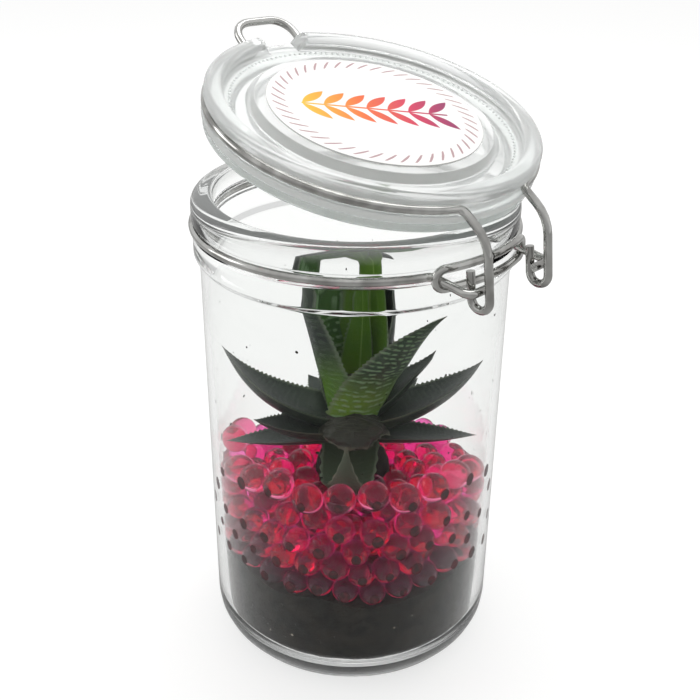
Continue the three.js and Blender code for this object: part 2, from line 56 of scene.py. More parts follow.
CAMERA_HEADING = math.radians(45)
CAMERA_PITCH = math.radians(27.486)
CAMERA_ROLL = math.radians(0.584)
FOCAL_PIXELS = 1053.9
FRAME_PIXELS = 700
SENSOR_WIDTH = 36
FLOOR_RADIUS = 6
FLOOR_SIDES = 64
FLOOR_COLOUR = (0.40, 0.40, 0.396, 1)
FLOOR_GLOW = 0.64
MIRRORED_GLOW = 0.1
ROOM_LIGHT = 0.78
ROOM_SHADE = 0.4
DARK_SIDE_TURN = (0.3, 0.95)
DARK_SIDE_RISE = (0.15, 0.75)
LAMP_AIM = Vector((0, 0, 0.1))
LIGHT_BOUNCES = 24
WHITE = (1, 1, 1, 1)
front = Vector((math.sin(CAMERA_HEADING), -math.cos(CAMERA_HEADING), 0))

scene = bpy.context.scene
scene.view_settings.view_transform = "Standard"
scene.cycles.max_bounces = LIGHT_BOUNCES
scene.cycles.transmission_bounces = LIGHT_BOUNCES


class Paint:
    """One socket of a node tree. Sums and products of it add Math nodes."""

    def __init__(self, tree, socket=None):
        self.tree = tree
        self.socket = socket

    def node(self, kind, settings, sockets, out=0):
        """Adds a node, with its settings first and then its sockets' values or links."""
        made = self.tree.nodes.new("ShaderNode" + kind)
        for name, value in settings.items():
            if name == "stops":
                for stop, (place, colour) in zip(made.color_ramp.elements, value):
                    stop.position = place
                    stop.color = colour
                for place, colour in value[len(made.color_ramp.elements):]:
                    made.color_ramp.elements.new(place).color = colour
            else:
                setattr(made, name, value)
        for name, value in sockets.items():
            if isinstance(value, Paint):
                self.tree.links.new(value.socket, made.inputs[name])
            else:
                made.inputs[name].default_value = value
        return Paint(self.tree, made.outputs[out])

    def maths(self, operation, first, second=0.0):
        return self.node("Math", {"operation": operation}, {0: first, 1: second})

    def __add__(self, other):
        return self.maths("ADD", self, other)

    def __sub__(self, other):
        return self.maths("SUBTRACT", self, other)

    def __rsub__(self, other):
        return self.maths("SUBTRACT", other, self)

    def __mul__(self, other):
        return self.maths("MULTIPLY", self, other)

    def __abs__(self):
        return self.maths("ABSOLUTE", self)

    __radd__ = __add__
    __rmul__ = __mul__

    def most(self, other):
        return self.maths("MAXIMUM", self, other)

    def step(self, low, high):
        """0 up to low and 1 from high, smooth between them."""
        limits = {"Value": self, "From Min": low, "From Max": high}
        return self.node("MapRange", {"interpolation_type": "SMOOTHSTEP"}, limits)

    def tint(self, bare, full):
        """The colour bare where this is 0 and full where it is 1."""
        return self.node("Mix", {"data_type": "RGBA"}, {0: self, 6: bare, 7: full}, out=2)

    def light_path(self, *rays):
        """1 on any of these kinds of ray."""
        found = self.node("LightPath", {}, {}, out=rays[0])
        for ray in rays[1:]:
            found = found.most(self.node("LightPath", {}, {}, out=ray))
        return found

    def grain(self, size, detail, roughness=0.5):
        """Noise over a piece, with lumps of about this size in millimetres."""
        place = self.node("TexCoord", {}, {}, out="Object")
        sockets = {"Vector": place, "Scale": 1 / (size * MM), "Detail": detail, "Roughness": roughness}
        return self.node("TexNoise", {}, sockets)

    def surface(self, shader):
        """Makes a shader the material's surface."""
        output = self.tree.nodes.new("ShaderNodeOutputMaterial")
        self.tree.links.new(shader.socket, output.inputs["Surface"])

    def lit_through(self, shader, colour, *rays):
        """Makes a shader the surface, through which these kinds of ray pass straight in a colour."""
        clear = self.node("BsdfTransparent", {}, {"Color": colour})
        self.surface(self.node("MixShader", {}, {0: self.light_path(*rays), 1: shader, 2: clear}))


def new_finish(name):
    """An empty material, and the paint that its nodes are made with."""
    finish = bpy.data.materials.new(name)
    finish.use_nodes = True
    finish.node_tree.nodes.clear()
    return finish, Paint(finish.node_tree)


def shade(red, green, blue):
    """A colour as it looks on a screen, from 0 to 255, in the renderer's own scale."""
    levels = [level / 255 for level in (red, green, blue)]
    return tuple(v / 12.92 if v < 0.04 else ((v + 0.055) / 1.055) ** 2.4 for v in levels) + (1,)


camera_data = bpy.data.cameras.new("camera")
camera_data.sensor_width = SENSOR_WIDTH
camera_data.lens = FOCAL_PIXELS / FRAME_PIXELS * SENSOR_WIDTH
camera = bpy.data.objects.new("camera", camera_data)
turn = Matrix.Rotation(CAMERA_HEADING, 4, "Z") @ Matrix.Rotation(math.pi / 2 - CAMERA_PITCH, 4, "X")
camera.matrix_world = Matrix.Translation(CAMERA_PLACE) @ turn @ Matrix.Rotation(CAMERA_ROLL, 4, "Z")
scene.collection.objects.link(camera)
scene.camera = camera

floor_finish, paint = new_finish("floor_paper")
seen = paint.light_path("Is Camera Ray", "Is Transmission Ray")
mirrored = paint.light_path("Is Glossy Ray") * MIRRORED_GLOW
glow = paint.node("Emission", {}, {"Color": WHITE, "Strength": seen.most(mirrored) * FLOOR_GLOW})
paper = paint.node("BsdfDiffuse", {}, {"Color": FLOOR_COLOUR})
paint.surface(paint.node("AddShader", {}, {0: paper, 1: glow}))
floor_mesh = bpy.data.meshes.new("floor")
sheet = bmesh.new()
bmesh.ops.create_circle(sheet, cap_ends=True, segments=FLOOR_SIDES, radius=FLOOR_RADIUS)
sheet.to_mesh(floor_mesh)
sheet.free()
floor_mesh.materials.append(floor_finish)
floor = bpy.data.objects.new("floor", floor_mesh)
scene.collection.objects.link(floor)

room = bpy.data.worlds.new("room")
room.use_nodes = True
room.node_tree.nodes.clear()
paint = Paint(room.node_tree)
direction = paint.node("TexCoord", {}, {}, out="Generated")
facing = paint.node("VectorMath", {"operation": "DOT_PRODUCT"}, {0: direction, 1: front}, out="Value")
height = paint.node("SeparateXYZ", {}, {0: direction}, out="Z")
dark_side = facing.step(*DARK_SIDE_TURN) * (1 - height.step(*DARK_SIDE_RISE))
level = (1 - dark_side * ROOM_SHADE) * ROOM_LIGHT
level = level.most(paint.light_path("Is Camera Ray"))
air = paint.node("Background", {}, {"Color": WHITE, "Strength": level})
world_output = room.node_tree.nodes.new("ShaderNodeOutputWorld")
room.node_tree.links.new(air.socket, world_output.inputs["Surface"])
scene.world = room


def soft_lamp(name, place, size, watts):
    """A square lamp with a diffusing front, aimed at the middle of the jar."""
    data = bpy.data.lights.new(name, "AREA")
    data.size = size
    data.energy = watts
    lamp = bpy.data.objects.new(name, data)
    aim = LAMP_AIM - Vector(place)
    lamp.matrix_world = Matrix.Translation(place) @ aim.to_track_quat("-Z", "Y").to_matrix().to_4x4()
    scene.collection.objects.link(lamp)


soft_lamp("lamp_overhead", place=(-0.15, 0.25, 1.1), size=0.7, watts=5.0)
soft_lamp("lamp_left", place=(-0.75, -0.55, 0.55), size=0.45, watts=1.6)


# The jar: clear pressed soda glass, blown straight in a mould with a thick base and a rounded heel.
# A collar below the rim carries the groove for the neck wire, and the rim is fire-polished round.
BODY_RADIUS = 50
WALL = 3.2
BASE_THICKNESS = 7
BASE_HOLLOW = 1.4
BASE_RING_RADIUS = 36
BASE_RING_WIDTH = 4
BASE_RING_ROUNDING = 1.5
HOLLOW_ROUNDING = 3
HEEL_RADIUS = 12
INNER_HEEL_RADIUS = 8
JAR_HEIGHT = 164.5
SHOULDER_Z = 143.6
COLLAR_Z = 145.6
SHOULDER_ROUNDING = 1.2
NECK_TAPER = 22
TAPER_ROUNDING = 60
COLLAR_RADIUS = 51.8
RIM_RADIUS = 52
RIM_ROUNDING = 3.3
MOUTH_ROUNDING = 1.5
MOUTH_RADIUS = 45
NECK_WIRE_Z = 154.6
GROOVE_RADIUS = 50
GROOVE_HALF = 1.6
GROOVE_ROUNDING = 0.8
GROOVE_LIP = 0.6
GROOVE_LIP_ROUNDING = 0.5
GLASS_COLOUR = (0.91, 0.918, 0.912, 1)
GLASS_SHADOW = (0.90, 0.92, 0.91, 1)
GLASS_SHEEN = (0.12, 0.12, 0.12, 1)
GLASS_IOR = 1.5
MILK_LOW = 159
MILK_HIGH = 163
SCUFF_FULL = 1.2
SCUFF_TOP = 2.4
SCUFF_ROUGHNESS = 0.28
HEEL_RING_PITCH = 1.7
HEEL_RING_FULL = 3.6
HEEL_RING_TOP = 9
HEEL_RING_DEPTH = 0.4
HEEL_RING_WANDER = 3
TURN_STEPS = 144
BEND_STEP = math.radians(15)
FEWEST_BEND_STEPS = 4
MERGE_BELOW = 0.002
SMOOTH_BELOW = math.radians(38)
inner_radius = BODY_RADIUS - WALL


def bent(corners, closed=False):
    """A path of straight stretches, whose corners, each a point and a bend radius, are turned as arcs."""
    points = []
    for i, (corner, radius) in enumerate(corners):
        corner = Vector(corner)
        at_end = not closed and i in (0, len(corners) - 1)
        if radius == 0 or at_end:
            points.append(corner)
            continue
        back = (Vector(corners[i - 1][0]) - corner).normalized()
        onward = (Vector(corners[(i + 1) % len(corners)][0]) - corner).normalized()
        half = back.angle(onward) / 2
        middle = corner + (back + onward).normalized() * radius / math.sin(half)
        start = (corner + back * radius / math.tan(half) - middle).normalized()
        end = (corner + onward * radius / math.tan(half) - middle).normalized()
        steps = max(FEWEST_BEND_STEPS, math.ceil((math.pi - 2 * half) / BEND_STEP))
        points += [middle + start.slerp(end, k / steps) * radius for k in range(steps + 1)]
    return points


def profile(*corners):
    """Corners of a turned piece, given as radius, height and rounding."""
    return [((radius, 0, z), rounding) for radius, z, rounding in corners]


def turned(points, steps, closed=False):
    """A mesh turned about the upright axis from a profile."""
    mesh = bmesh.new()
    corners = [mesh.verts.new(point) for point in points]
    edges = [mesh.edges.new(pair) for pair in zip(corners, corners[1:])]
    if closed:
        edges.append(mesh.edges.new((corners[-1], corners[0])))
    bmesh.ops.spin(
        mesh, geom=corners + edges, cent=(0, 0, 0), axis=(0, 0, 1),
        angle=2 * math.pi, steps=steps, use_merge=True,
    )
    bmesh.ops.remove_doubles(mesh, verts=mesh.verts, dist=MERGE_BELOW)
    bmesh.ops.recalc_face_normals(mesh, faces=mesh.faces)
    return mesh


def set_piece(name, mesh, finish, body, slot, *nodes):
    """Makes a piece of a mesh in millimetres, for the CAD nodes that it stands for."""
    bmesh.ops.scale(mesh, vec=(MM, MM, MM), verts=mesh.verts)
    for edge in mesh.edges:
        edge.smooth = edge.calc_face_angle(0) < SMOOTH_BELOW
    for face in mesh.faces:
        face.smooth = True
    data = bpy.data.meshes.new(name)
    mesh.to_mesh(data)
    mesh.free()
    data.materials.append(finish)
    piece = bpy.data.objects.new(name, data)
    scene.collection.objects.link(piece)
    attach(piece, body)
    if nodes:
        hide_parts(*nodes)


def clear_glass(name, colour, ripple_size, ripple_depth, haze, milk):
    """Clear glass with the slow ripple that a mould leaves. It has rings and scuffs where it stands on a
    table, and is a little milky from the jar's rim up. Lamps shine straight through it."""
    finish, paint = new_finish(name)
    place = paint.node("TexCoord", {}, {}, out="Object")
    upright = paint.node("SeparateXYZ", {}, {0: place}, out="Z")
    scuffed = (1 - upright.step(SCUFF_FULL * MM, SCUFF_TOP * MM)) * SCUFF_ROUGHNESS + haze
    ripple = paint.grain(ripple_size, 1.0)
    ring_turn = upright * (2 * math.pi / (HEEL_RING_PITCH * MM)) + ripple * HEEL_RING_WANDER
    ring_fade = 1 - upright.step(HEEL_RING_FULL * MM, HEEL_RING_TOP * MM)
    height = ripple + paint.maths("SINE", ring_turn) * ring_fade * HEEL_RING_DEPTH
    waves = paint.node("Bump", {}, {"Strength": 1.0, "Distance": ripple_depth * MM, "Height": height})
    glass = paint.node("BsdfPrincipled", {}, {
        "Base Color": colour, "Roughness": scuffed, "IOR": GLASS_IOR, "Transmission Weight": 1.0,
        "Specular Tint": GLASS_SHEEN, "Normal": waves,
    })
    cloud = paint.node("BsdfDiffuse", {}, {"Color": colour})
    milky = upright.step(MILK_LOW * MM, MILK_HIGH * MM) * milk
    glass = paint.node("MixShader", {}, {0: milky, 1: glass, 2: cloud})
    paint.lit_through(glass, GLASS_SHADOW, "Is Shadow Ray", "Is Diffuse Ray")
    return finish


jar_glass = clear_glass("jar_glass", GLASS_COLOUR, ripple_size=26, ripple_depth=0.10, haze=0.0, milk=0.22)
jar_profile = bent(profile(
    (0, BASE_HOLLOW, 0),
    (BASE_RING_RADIUS - BASE_RING_WIDTH, BASE_HOLLOW, HOLLOW_ROUNDING),
    (BASE_RING_RADIUS, 0, BASE_RING_ROUNDING),
    (BODY_RADIUS, 0, HEEL_RADIUS),
    (BODY_RADIUS, SHOULDER_Z, SHOULDER_ROUNDING),
    (COLLAR_RADIUS, COLLAR_Z, SHOULDER_ROUNDING),
    (COLLAR_RADIUS, NECK_WIRE_Z - GROOVE_HALF - GROOVE_LIP, GROOVE_LIP_ROUNDING),
    (GROOVE_RADIUS, NECK_WIRE_Z - GROOVE_HALF, GROOVE_ROUNDING),
    (GROOVE_RADIUS, NECK_WIRE_Z + GROOVE_HALF, GROOVE_ROUNDING),
    (RIM_RADIUS, NECK_WIRE_Z + GROOVE_HALF + GROOVE_LIP, GROOVE_LIP_ROUNDING),
    (RIM_RADIUS, JAR_HEIGHT, RIM_ROUNDING),
    (MOUTH_RADIUS, JAR_HEIGHT, MOUTH_ROUNDING),
    (MOUTH_RADIUS, COLLAR_Z, TAPER_ROUNDING),
    (inner_radius, COLLAR_Z - NECK_TAPER, TAPER_ROUNDING),
    (inner_radius, BASE_THICKNESS, INNER_HEEL_RADIUS),
    (0, BASE_THICKNESS, 0),
))
set_piece("glass_jar", turned(jar_profile, TURN_STEPS), jar_glass, "planted_jar", "glass", "jar")


# The soil: fine dark potting mix, poured in dry and pressed down, with a few pale grains and fibres.
# It lies a hair inside the glass, and its top is a little higher towards the front.
SEAT_GAP = 0.3
SOIL_TOP = 36
SOIL_HEAP = 1.6
SOIL_STEPS = 180
SOIL_FLOOR_ROWS = (0, 0.4, 0.7)
SOIL_WALL_ROWS = 16
SOIL_WALL_ROW_RISE = 1.3
SOIL_TOP_ROWS = (1, 0.97, 0.9, 0.8, 0.6, 0.4, 0.2, 0)
SOIL_LUMP = 4
SOIL_BROAD_LUMP = 11
SOIL_BROAD_SHARE = 0.7
SOIL_PITTING = 0.2
SOIL_SIDE_DEPTH = 0.4
SOIL_FLOOR_DEPTH = 0.2
SOIL_CRUMB = 2.6
SOIL_PATCH = 9
SOIL_GRAIN = 1.1
# The waves of the soil's top: how many go round, where the first starts, and its height at the glass.
SOIL_WAVES = [(3, 0.5, 1.7), (7, 2.0, 1.1), (11, 0.3, 0.6)]
soil_radius = inner_radius - SEAT_GAP
soil_floor = BASE_THICKNESS + SEAT_GAP
soil_heel_top = soil_floor + INNER_HEEL_RADIUS


def lumpy(point, size):
    """Smooth noise between -1 and 1 at a point in millimetres."""
    return noise.noise(Vector(point) / size)


def soil_rise(x, y):
    """How far the soil's top stands above its level: up towards the front, and in waves round the glass."""
    heading = np.arctan2(y, x)
    waves = sum(height * np.sin(count * heading + start) for count, start, height in SOIL_WAVES)
    return (SOIL_HEAP * (x * front.x + y * front.y) + waves * np.hypot(x, y)) / soil_radius


soil = turned(bent(profile(
    *[(soil_radius * share, soil_floor, 0) for share in SOIL_FLOOR_ROWS],
    (soil_radius, soil_floor, INNER_HEEL_RADIUS - SEAT_GAP),
    *[(soil_radius, soil_heel_top + SOIL_WALL_ROW_RISE * i, 0) for i in range(SOIL_WALL_ROWS)],
    *[(soil_radius * share, SOIL_TOP, 0) for share in SOIL_TOP_ROWS],
)), SOIL_STEPS)
for vert in soil.verts:
    heap = soil_rise(vert.co.x, vert.co.y) * (vert.co.z - soil_floor) / (SOIL_TOP - soil_floor)
    lumps = lumpy(vert.co, SOIL_LUMP) + SOIL_BROAD_SHARE * lumpy(vert.co, SOIL_BROAD_LUMP)
    pitted = max(0, lumps + SOIL_PITTING)
    sideways = Vector((vert.co.x, vert.co.y, 0))
    if sideways.length > 1:
        vert.co -= sideways.normalized() * pitted * SOIL_SIDE_DEPTH
    if vert.co.z > soil_heel_top:
        vert.co.z += heap
    else:
        vert.co.z += pitted * SOIL_FLOOR_DEPTH

soil_finish, paint = new_finish("potting_soil")
place = paint.node("TexCoord", {}, {}, out="Object")
crumbs = paint.grain(SOIL_CRUMB, 3.0, roughness=0.6)
patches = paint.grain(SOIL_PATCH, 2.0)
grains = paint.node("TexVoronoi", {}, {"Vector": place, "Scale": 1 / (SOIL_GRAIN * MM)}, out="Distance")
dark = crumbs.step(0.3, 0.75).tint(shade(18, 16, 14), shade(44, 41, 36))
damp = (patches.step(0.35, 0.7) * 0.7).tint(dark, shade(50, 42, 36))
mixed = (1 - grains.step(0.05, 0.2)) * patches.step(0.5, 0.62)
soil_colour = (mixed * 0.5).tint(damp, shade(128, 122, 110))
relief = paint.node("Bump", {}, {"Strength": 0.15, "Distance": 0.4 * MM, "Height": crumbs + patches})
paint.surface(paint.node("BsdfPrincipled", {}, {
    "Base Color": soil_colour, "Roughness": 0.95, "Specular IOR Level": 0.25, "Normal": relief,
}))
set_piece("soil_layer", soil, soil_finish, "planted_jar", "soil", "soil")


# The soil's loose bits: crumbs of bark and pale grit that lie in its face, and dry specks of it that were
# splashed up while the jar was filled and cling to the glass above the beads.
CRUMB_COUNT = 150
CRUMB_SMALL = 0.25
CRUMB_LARGE = 0.8
CRUMB_FLATNESS = 0.35
CRUMB_WIDTHS = (0.5, 1)
CRUMB_LENGTHS = (0.6, 1.5)
PALE_EVERY = 9
SPECK_COUNT = 110
SPECK_LOW = 40
SPECK_SPAN = 62
SPECK_THINNING = 1.6
SPECK_SMALL = 0.18
SPECK_GROWTH = 0.5
SPECK_RARITY = 3
SPECK_SEAT = 0.36
rng = random.Random(11)
bits = bmesh.new()
pale_bits = bmesh.new()


def add_ball(mesh, fineness, *moves):
    """Adds a ball to a mesh. It starts with a radius of 1 and is then sized and placed by these moves."""
    ball = bmesh.new()
    bmesh.ops.create_icosphere(ball, subdivisions=fineness, radius=1)
    for move in moves:
        bmesh.ops.transform(ball, matrix=move, verts=ball.verts)
    data = bpy.data.meshes.new("ball")
    ball.to_mesh(data)
    ball.free()
    mesh.from_mesh(data)
    bpy.data.meshes.remove(data)


def crumb(mesh, heading, radius, z, size):
    """One small lump, flatter towards the glass and turned at random about its own middle."""
    squash = Matrix.Diagonal((CRUMB_FLATNESS, rng.uniform(*CRUMB_WIDTHS), rng.uniform(*CRUMB_LENGTHS), 1))
    tumble = Matrix.Rotation(rng.uniform(0, math.pi), 4, "X")
    out_to = Matrix.Translation((radius, 0, z))
    round_to = Matrix.Rotation(heading, 4, "Z")
    add_ball(mesh, 1, squash, Matrix.Scale(size, 4), tumble, out_to, round_to)


for i in range(CRUMB_COUNT):
    z = rng.uniform(soil_heel_top, SOIL_TOP + 1)
    size = rng.uniform(CRUMB_SMALL, CRUMB_LARGE)
    mesh = bits if i % PALE_EVERY else pale_bits
    crumb(mesh, rng.uniform(0, 2 * math.pi), soil_radius - size * CRUMB_FLATNESS, z, size)
for i in range(SPECK_COUNT):
    z = SOIL_TOP + SPECK_LOW + SPECK_SPAN * rng.random() ** SPECK_THINNING
    size = SPECK_SMALL + SPECK_GROWTH * rng.random() ** SPECK_RARITY
    crumb(bits, rng.uniform(0, 2 * math.pi), inner_radius - size * SPECK_SEAT, z, size)
pale_finish, paint = new_finish("pale_grit")
grit_colour = paint.grain(0.8, 3.0).step(0.35, 0.65).tint(shade(176, 168, 152), shade(120, 110, 96))
paint.surface(paint.node("BsdfPrincipled", {}, {"Base Color": grit_colour, "Roughness": 0.9}))
set_piece("soil_crumbs", bits, soil_finish, "planted_jar", "soil")
set_piece("soil_grit", pale_bits, pale_finish, "planted_jar", "soil")


# The gel beads: soft water-filled balls of pink-red jelly, poured round the root ball and settled there.
# Each lies against its neighbours and sticks to the glass with a small wet spot, where a flat dark disc is
# put on the glass as painted shade for the darker look into the bead there.
BEAD_SMALL = 4.3
BEAD_LARGE = 5.0
BEAD_COUNT = 300
BEAD_SINK = 0.6
POUR_RADIUS = 41
POUR_HOLLOW = 0.3
POUR_LOW = 4
POUR_HIGH = 3
SETTLE_ROUNDS = 420
SETTLE_DROP = 0.05
SETTLE_PUSH = 0.3
FAR_APART = 1000
BED_TOP = 67.6
BED_SLOPE = 5.0
BED_FACE = 15
BED_CROWN = 9
ROOT_BALL_RADIUS = 14
ROOT_BALL_FOOT = 47.9
ROOT_BALL_TOP = 73.9
ROOT_BALL_FULLNESS = 0.7
WALL_TOUCH = 0.12
SPOT_NEAR = 0.4
SPOT_SIZE = 2.1
SPOT_SHARES = (0.75, 1.15)
SPOT_WIDTH = 0.85
SPOT_THICKNESS = 0.12
SPOT_MOTTLE = 2
SPOT_SINK = 0.05
GLASS_FILM = 0.03
LOOSE_BEADS = 12
LOOSE_UNEVEN = 1.4
LOOSE_TURN = 2.1
GEL_IOR = 1.33
GEL_CLOUD = 9
GEL_SHADOW = shade(240, 112, 158)
draw = np.random.default_rng(5)
loose_boxes = [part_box(f"gel_bead_{i + 1}") for i in range(LOOSE_BEADS)]
loose_centres = np.array([(low + high) / 2 / MM for low, high in loose_boxes])
loose_radii = np.array([(high.z - low.z) / 2 / MM for low, high in loose_boxes])
loose_centres[:, 2] -= BED_SLOPE * (1 - loose_centres @ np.array(front) / soil_radius)
loose_centres[:, 2] += LOOSE_UNEVEN * np.sin(np.arange(LOOSE_BEADS) * LOOSE_TURN)
turns = draw.uniform(0, 2 * math.pi, BEAD_COUNT)
reaches = POUR_RADIUS * np.sqrt(draw.uniform(POUR_HOLLOW, 1, BEAD_COUNT))
heights = draw.uniform(SOIL_TOP + POUR_LOW, BED_TOP - POUR_HIGH, BEAD_COUNT)
packed = np.stack([reaches * np.cos(turns), reaches * np.sin(turns), heights], axis=1)
packed_radii = draw.uniform(BEAD_SMALL, BEAD_LARGE, BEAD_COUNT)
centres = np.concatenate([loose_centres, packed])
radii = np.concatenate([loose_radii, packed_radii])
for _ in range(SETTLE_ROUNDS):
    apart = centres[:, None, :] - centres[None, :, :]
    distance = np.linalg.norm(apart, axis=2) + np.eye(len(centres)) * FAR_APART
    pressed = np.clip(radii[:, None] + radii[None, :] - distance, 0, None)
    centres += (apart / distance[:, :, None] * pressed[:, :, None]).sum(axis=1) * SETTLE_PUSH
    centres[:, 2] -= SETTLE_DROP
    out = np.hypot(centres[:, 0], centres[:, 1])
    up_root = np.clip((centres[:, 2] - ROOT_BALL_FOOT) / (ROOT_BALL_TOP - ROOT_BALL_FOOT), 0, 1)
    root_reach = ROOT_BALL_RADIUS * np.sin(math.pi * up_root) ** ROOT_BALL_FULLNESS
    wanted = np.maximum(out, np.where(up_root > 0, root_reach + radii, 0))
    wanted = np.minimum(wanted, inner_radius - radii + WALL_TOUCH)
    centres[:, :2] *= (wanted / np.maximum(out, 0.01))[:, None]
    forward = (centres @ np.array(front)) / soil_radius
    ground = SOIL_TOP - BEAD_SINK + soil_rise(centres[:, 0], centres[:, 1])
    centres[:, 2] = np.clip(centres[:, 2], ground + radii, BED_TOP + BED_SLOPE * forward - radii)
    centres[:LOOSE_BEADS] = loose_centres


def jelly(name, clear_colour, cloud_colour):
    """Clear pink-red jelly, cloudy in places. Lamps shine through it and take its colour along."""
    finish, paint = new_finish(name)
    colour = paint.grain(GEL_CLOUD, 1.0).step(0.3, 0.7).tint(clear_colour, cloud_colour)
    gel = paint.node("BsdfPrincipled", {}, {
        "Base Color": colour, "Roughness": 0.0, "IOR": GEL_IOR, "Transmission Weight": 0.97,
        "Sheen Weight": 0.04, "Sheen Roughness": 0.2, "Sheen Tint": shade(255, 120, 160),
    })
    paint.lit_through(gel, GEL_SHADOW, "Is Shadow Ray")
    return finish


def press_to_glass(mesh):
    """Presses beads flat where they would stand out past the glass."""
    for vert in mesh.verts:
        reach = math.hypot(vert.co.x, vert.co.y)
        vert.co.xy *= min(1, (inner_radius - GLASS_FILM) / max(reach, 1))


packed_gel = jelly("deep_pink_jelly", shade(248, 100, 184), shade(251, 120, 196))
loose_gel = jelly("pale_pink_jelly", shade(247, 116, 164), shade(250, 136, 180))
bed = bmesh.new()
shade_spots = bmesh.new()
# Where a bead reaches the glass, a flat dark disc of painted shade is laid on the glass.
for centre, radius in zip(centres, radii):
    reach = math.hypot(centre[0], centre[1])
    if reach + radius > inner_radius - SPOT_NEAR:
        size = SPOT_SIZE * draw.uniform(*SPOT_SHARES)
        flat = Matrix.Diagonal((SPOT_THICKNESS, size * SPOT_WIDTH, size, 1))
        out_to = Matrix.Translation((inner_radius + SPOT_SINK, 0, centre[2]))
        add_ball(shade_spots, 2, flat, out_to, Matrix.Rotation(math.atan2(centre[1], centre[0]), 4, "Z"))
for centre, radius in zip(centres[LOOSE_BEADS:], radii[LOOSE_BEADS:]):
    outer = math.hypot(centre[0], centre[1]) > inner_radius - BED_FACE or centre[2] > BED_TOP - BED_CROWN
    add_ball(bed, 3 if outer else 2, Matrix.Scale(radius, 4), Matrix.Translation(centre))
press_to_glass(bed)
set_piece("packed_beads", bed, packed_gel, "planted_jar", "gel", "bead_bed")
for i in range(LOOSE_BEADS):
    single = bmesh.new()
    add_ball(single, 4, Matrix.Scale(loose_radii[i], 4), Matrix.Translation(loose_centres[i]))
    press_to_glass(single)
    set_piece(f"loose_bead_{i + 1}", single, loose_gel, "planted_jar", "gel", f"gel_bead_{i + 1}")
# The discs' dark wine colour is painted shade. It stands in for the darker look into the bead through its
# wet contact with the glass.
contact_shade_finish, paint = new_finish("painted_contact_shade")
contact_shade_colour = paint.grain(SPOT_MOTTLE, 2.0).step(0.35, 0.65).tint(shade(50, 0, 12), shade(90, 4, 26))
paint.surface(paint.node("BsdfPrincipled", {}, {"Base Color": contact_shade_colour, "Roughness": 0.35}))
set_piece("bead_contact_shade", shade_spots, contact_shade_finish, "planted_jar", "gel")


# The root ball and the stem: a plug of dark peat held by roots, and the short green stem that carries the
# leaves. The plug came with the plant, and the beads were poured round it.
ROOT_SIDES = 48
ROOT_ROWS = 20
ROOT_FOOT_GAP = 1
ROOT_TOP_GAP = 0.4
STEM_SIDES = 40
STEM_RADIUS = 8
STEM_TOP_RADIUS = 4.5
STEM_ROUNDING = 1
STEM_ROWS = 10
STEM_ROW_RISE = 2.6
STEM_ROW_TAPER = 0.35
root_low, root_high = (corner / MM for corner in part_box("root_ball"))
stem_low, stem_high = (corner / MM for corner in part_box("stem"))
root_foot = root_low.z + ROOT_FOOT_GAP
root_top = root_high.z - ROOT_TOP_GAP


def root_row(share):
    """A row of the plug's profile, at a share of the way over it from its foot to its top."""
    over = math.pi * share
    radius = (ROOT_BALL_RADIUS - SEAT_GAP) * math.sin(over) ** ROOT_BALL_FULLNESS
    return (radius, root_foot + (root_top - root_foot) * (1 - math.cos(over)) / 2, 0)


def roughen(mesh, depth, size):
    """Draws the sides of a turned piece in unevenly, by this share on average, in lumps of this size."""
    for vert in mesh.verts:
        vert.co.xy *= 1 - depth * (1 + lumpy(vert.co, size))


roots = turned(bent(profile(
    (0, root_foot, 0),
    *[root_row(i / ROOT_ROWS) for i in range(1, ROOT_ROWS)],
    (0, root_top, 0),
)), ROOT_SIDES)
roughen(roots, depth=0.05, size=3)
set_piece("peat_plug", roots, soil_finish, "planted_jar", "roots", "root_ball")

stem_finish, paint = new_finish("green_stem")
stem_colour = paint.grain(4, 4.0).step(0.35, 0.7).tint(shade(58, 76, 38), shade(96, 92, 58))
paint.surface(paint.node("BsdfPrincipled", {}, {"Base Color": stem_colour, "Roughness": 0.6}))
stem = turned(bent(profile(
    (0, stem_low.z, 0),
    (STEM_RADIUS, stem_low.z, STEM_ROUNDING),
    *[(STEM_RADIUS - STEM_ROW_TAPER * i, stem_low.z + STEM_ROW_RISE * i, 0) for i in range(1, STEM_ROWS)],
    (STEM_TOP_RADIUS, stem_high.z, STEM_ROUNDING),
    (0, stem_high.z, 0),
)), STEM_SIDES)
roughen(stem, depth=0.06, size=4)
set_piece("short_stem", stem, stem_finish, "planted_jar", "leaf", "stem")


# The leaves: thick pointed blades of a toothed rosette plant, hollow above and keeled below.
# Small pale teeth stand along both edges, and rows of pale warts cross the blades.
LEAF_WIDTH = 20
LEAF_SIDES = 16
LEAF_ROOT_DEPTH = 2
LEAF_KEEL = 0.2
LEAF_UNFOLDING = 0.4
LEAF_TAPER = 2.2
LEAF_POINT = 1.2
PLANT_HEIGHT = 68
TOOTH_PITCH = 1.8
TOOTH_HEIGHT = 0.8
TOOTH_COLOUR = shade(132, 144, 120)
TIP_COLOUR = shade(96, 88, 72)
BACK_MOTTLE = shade(84, 96, 76)
BLADE_EDGE = 0.99
ROOT_FADE = (0.05, 0.45)
WART_ROWS = 24
WART_COLUMNS = 13
DRY_CUTS = 2
DRY_LUMP = 1.6
DRY_LUMP_SIZE = 5
DRY_WRINKLE = 0.8
DRY_WRINKLE_SIZE = 1.7
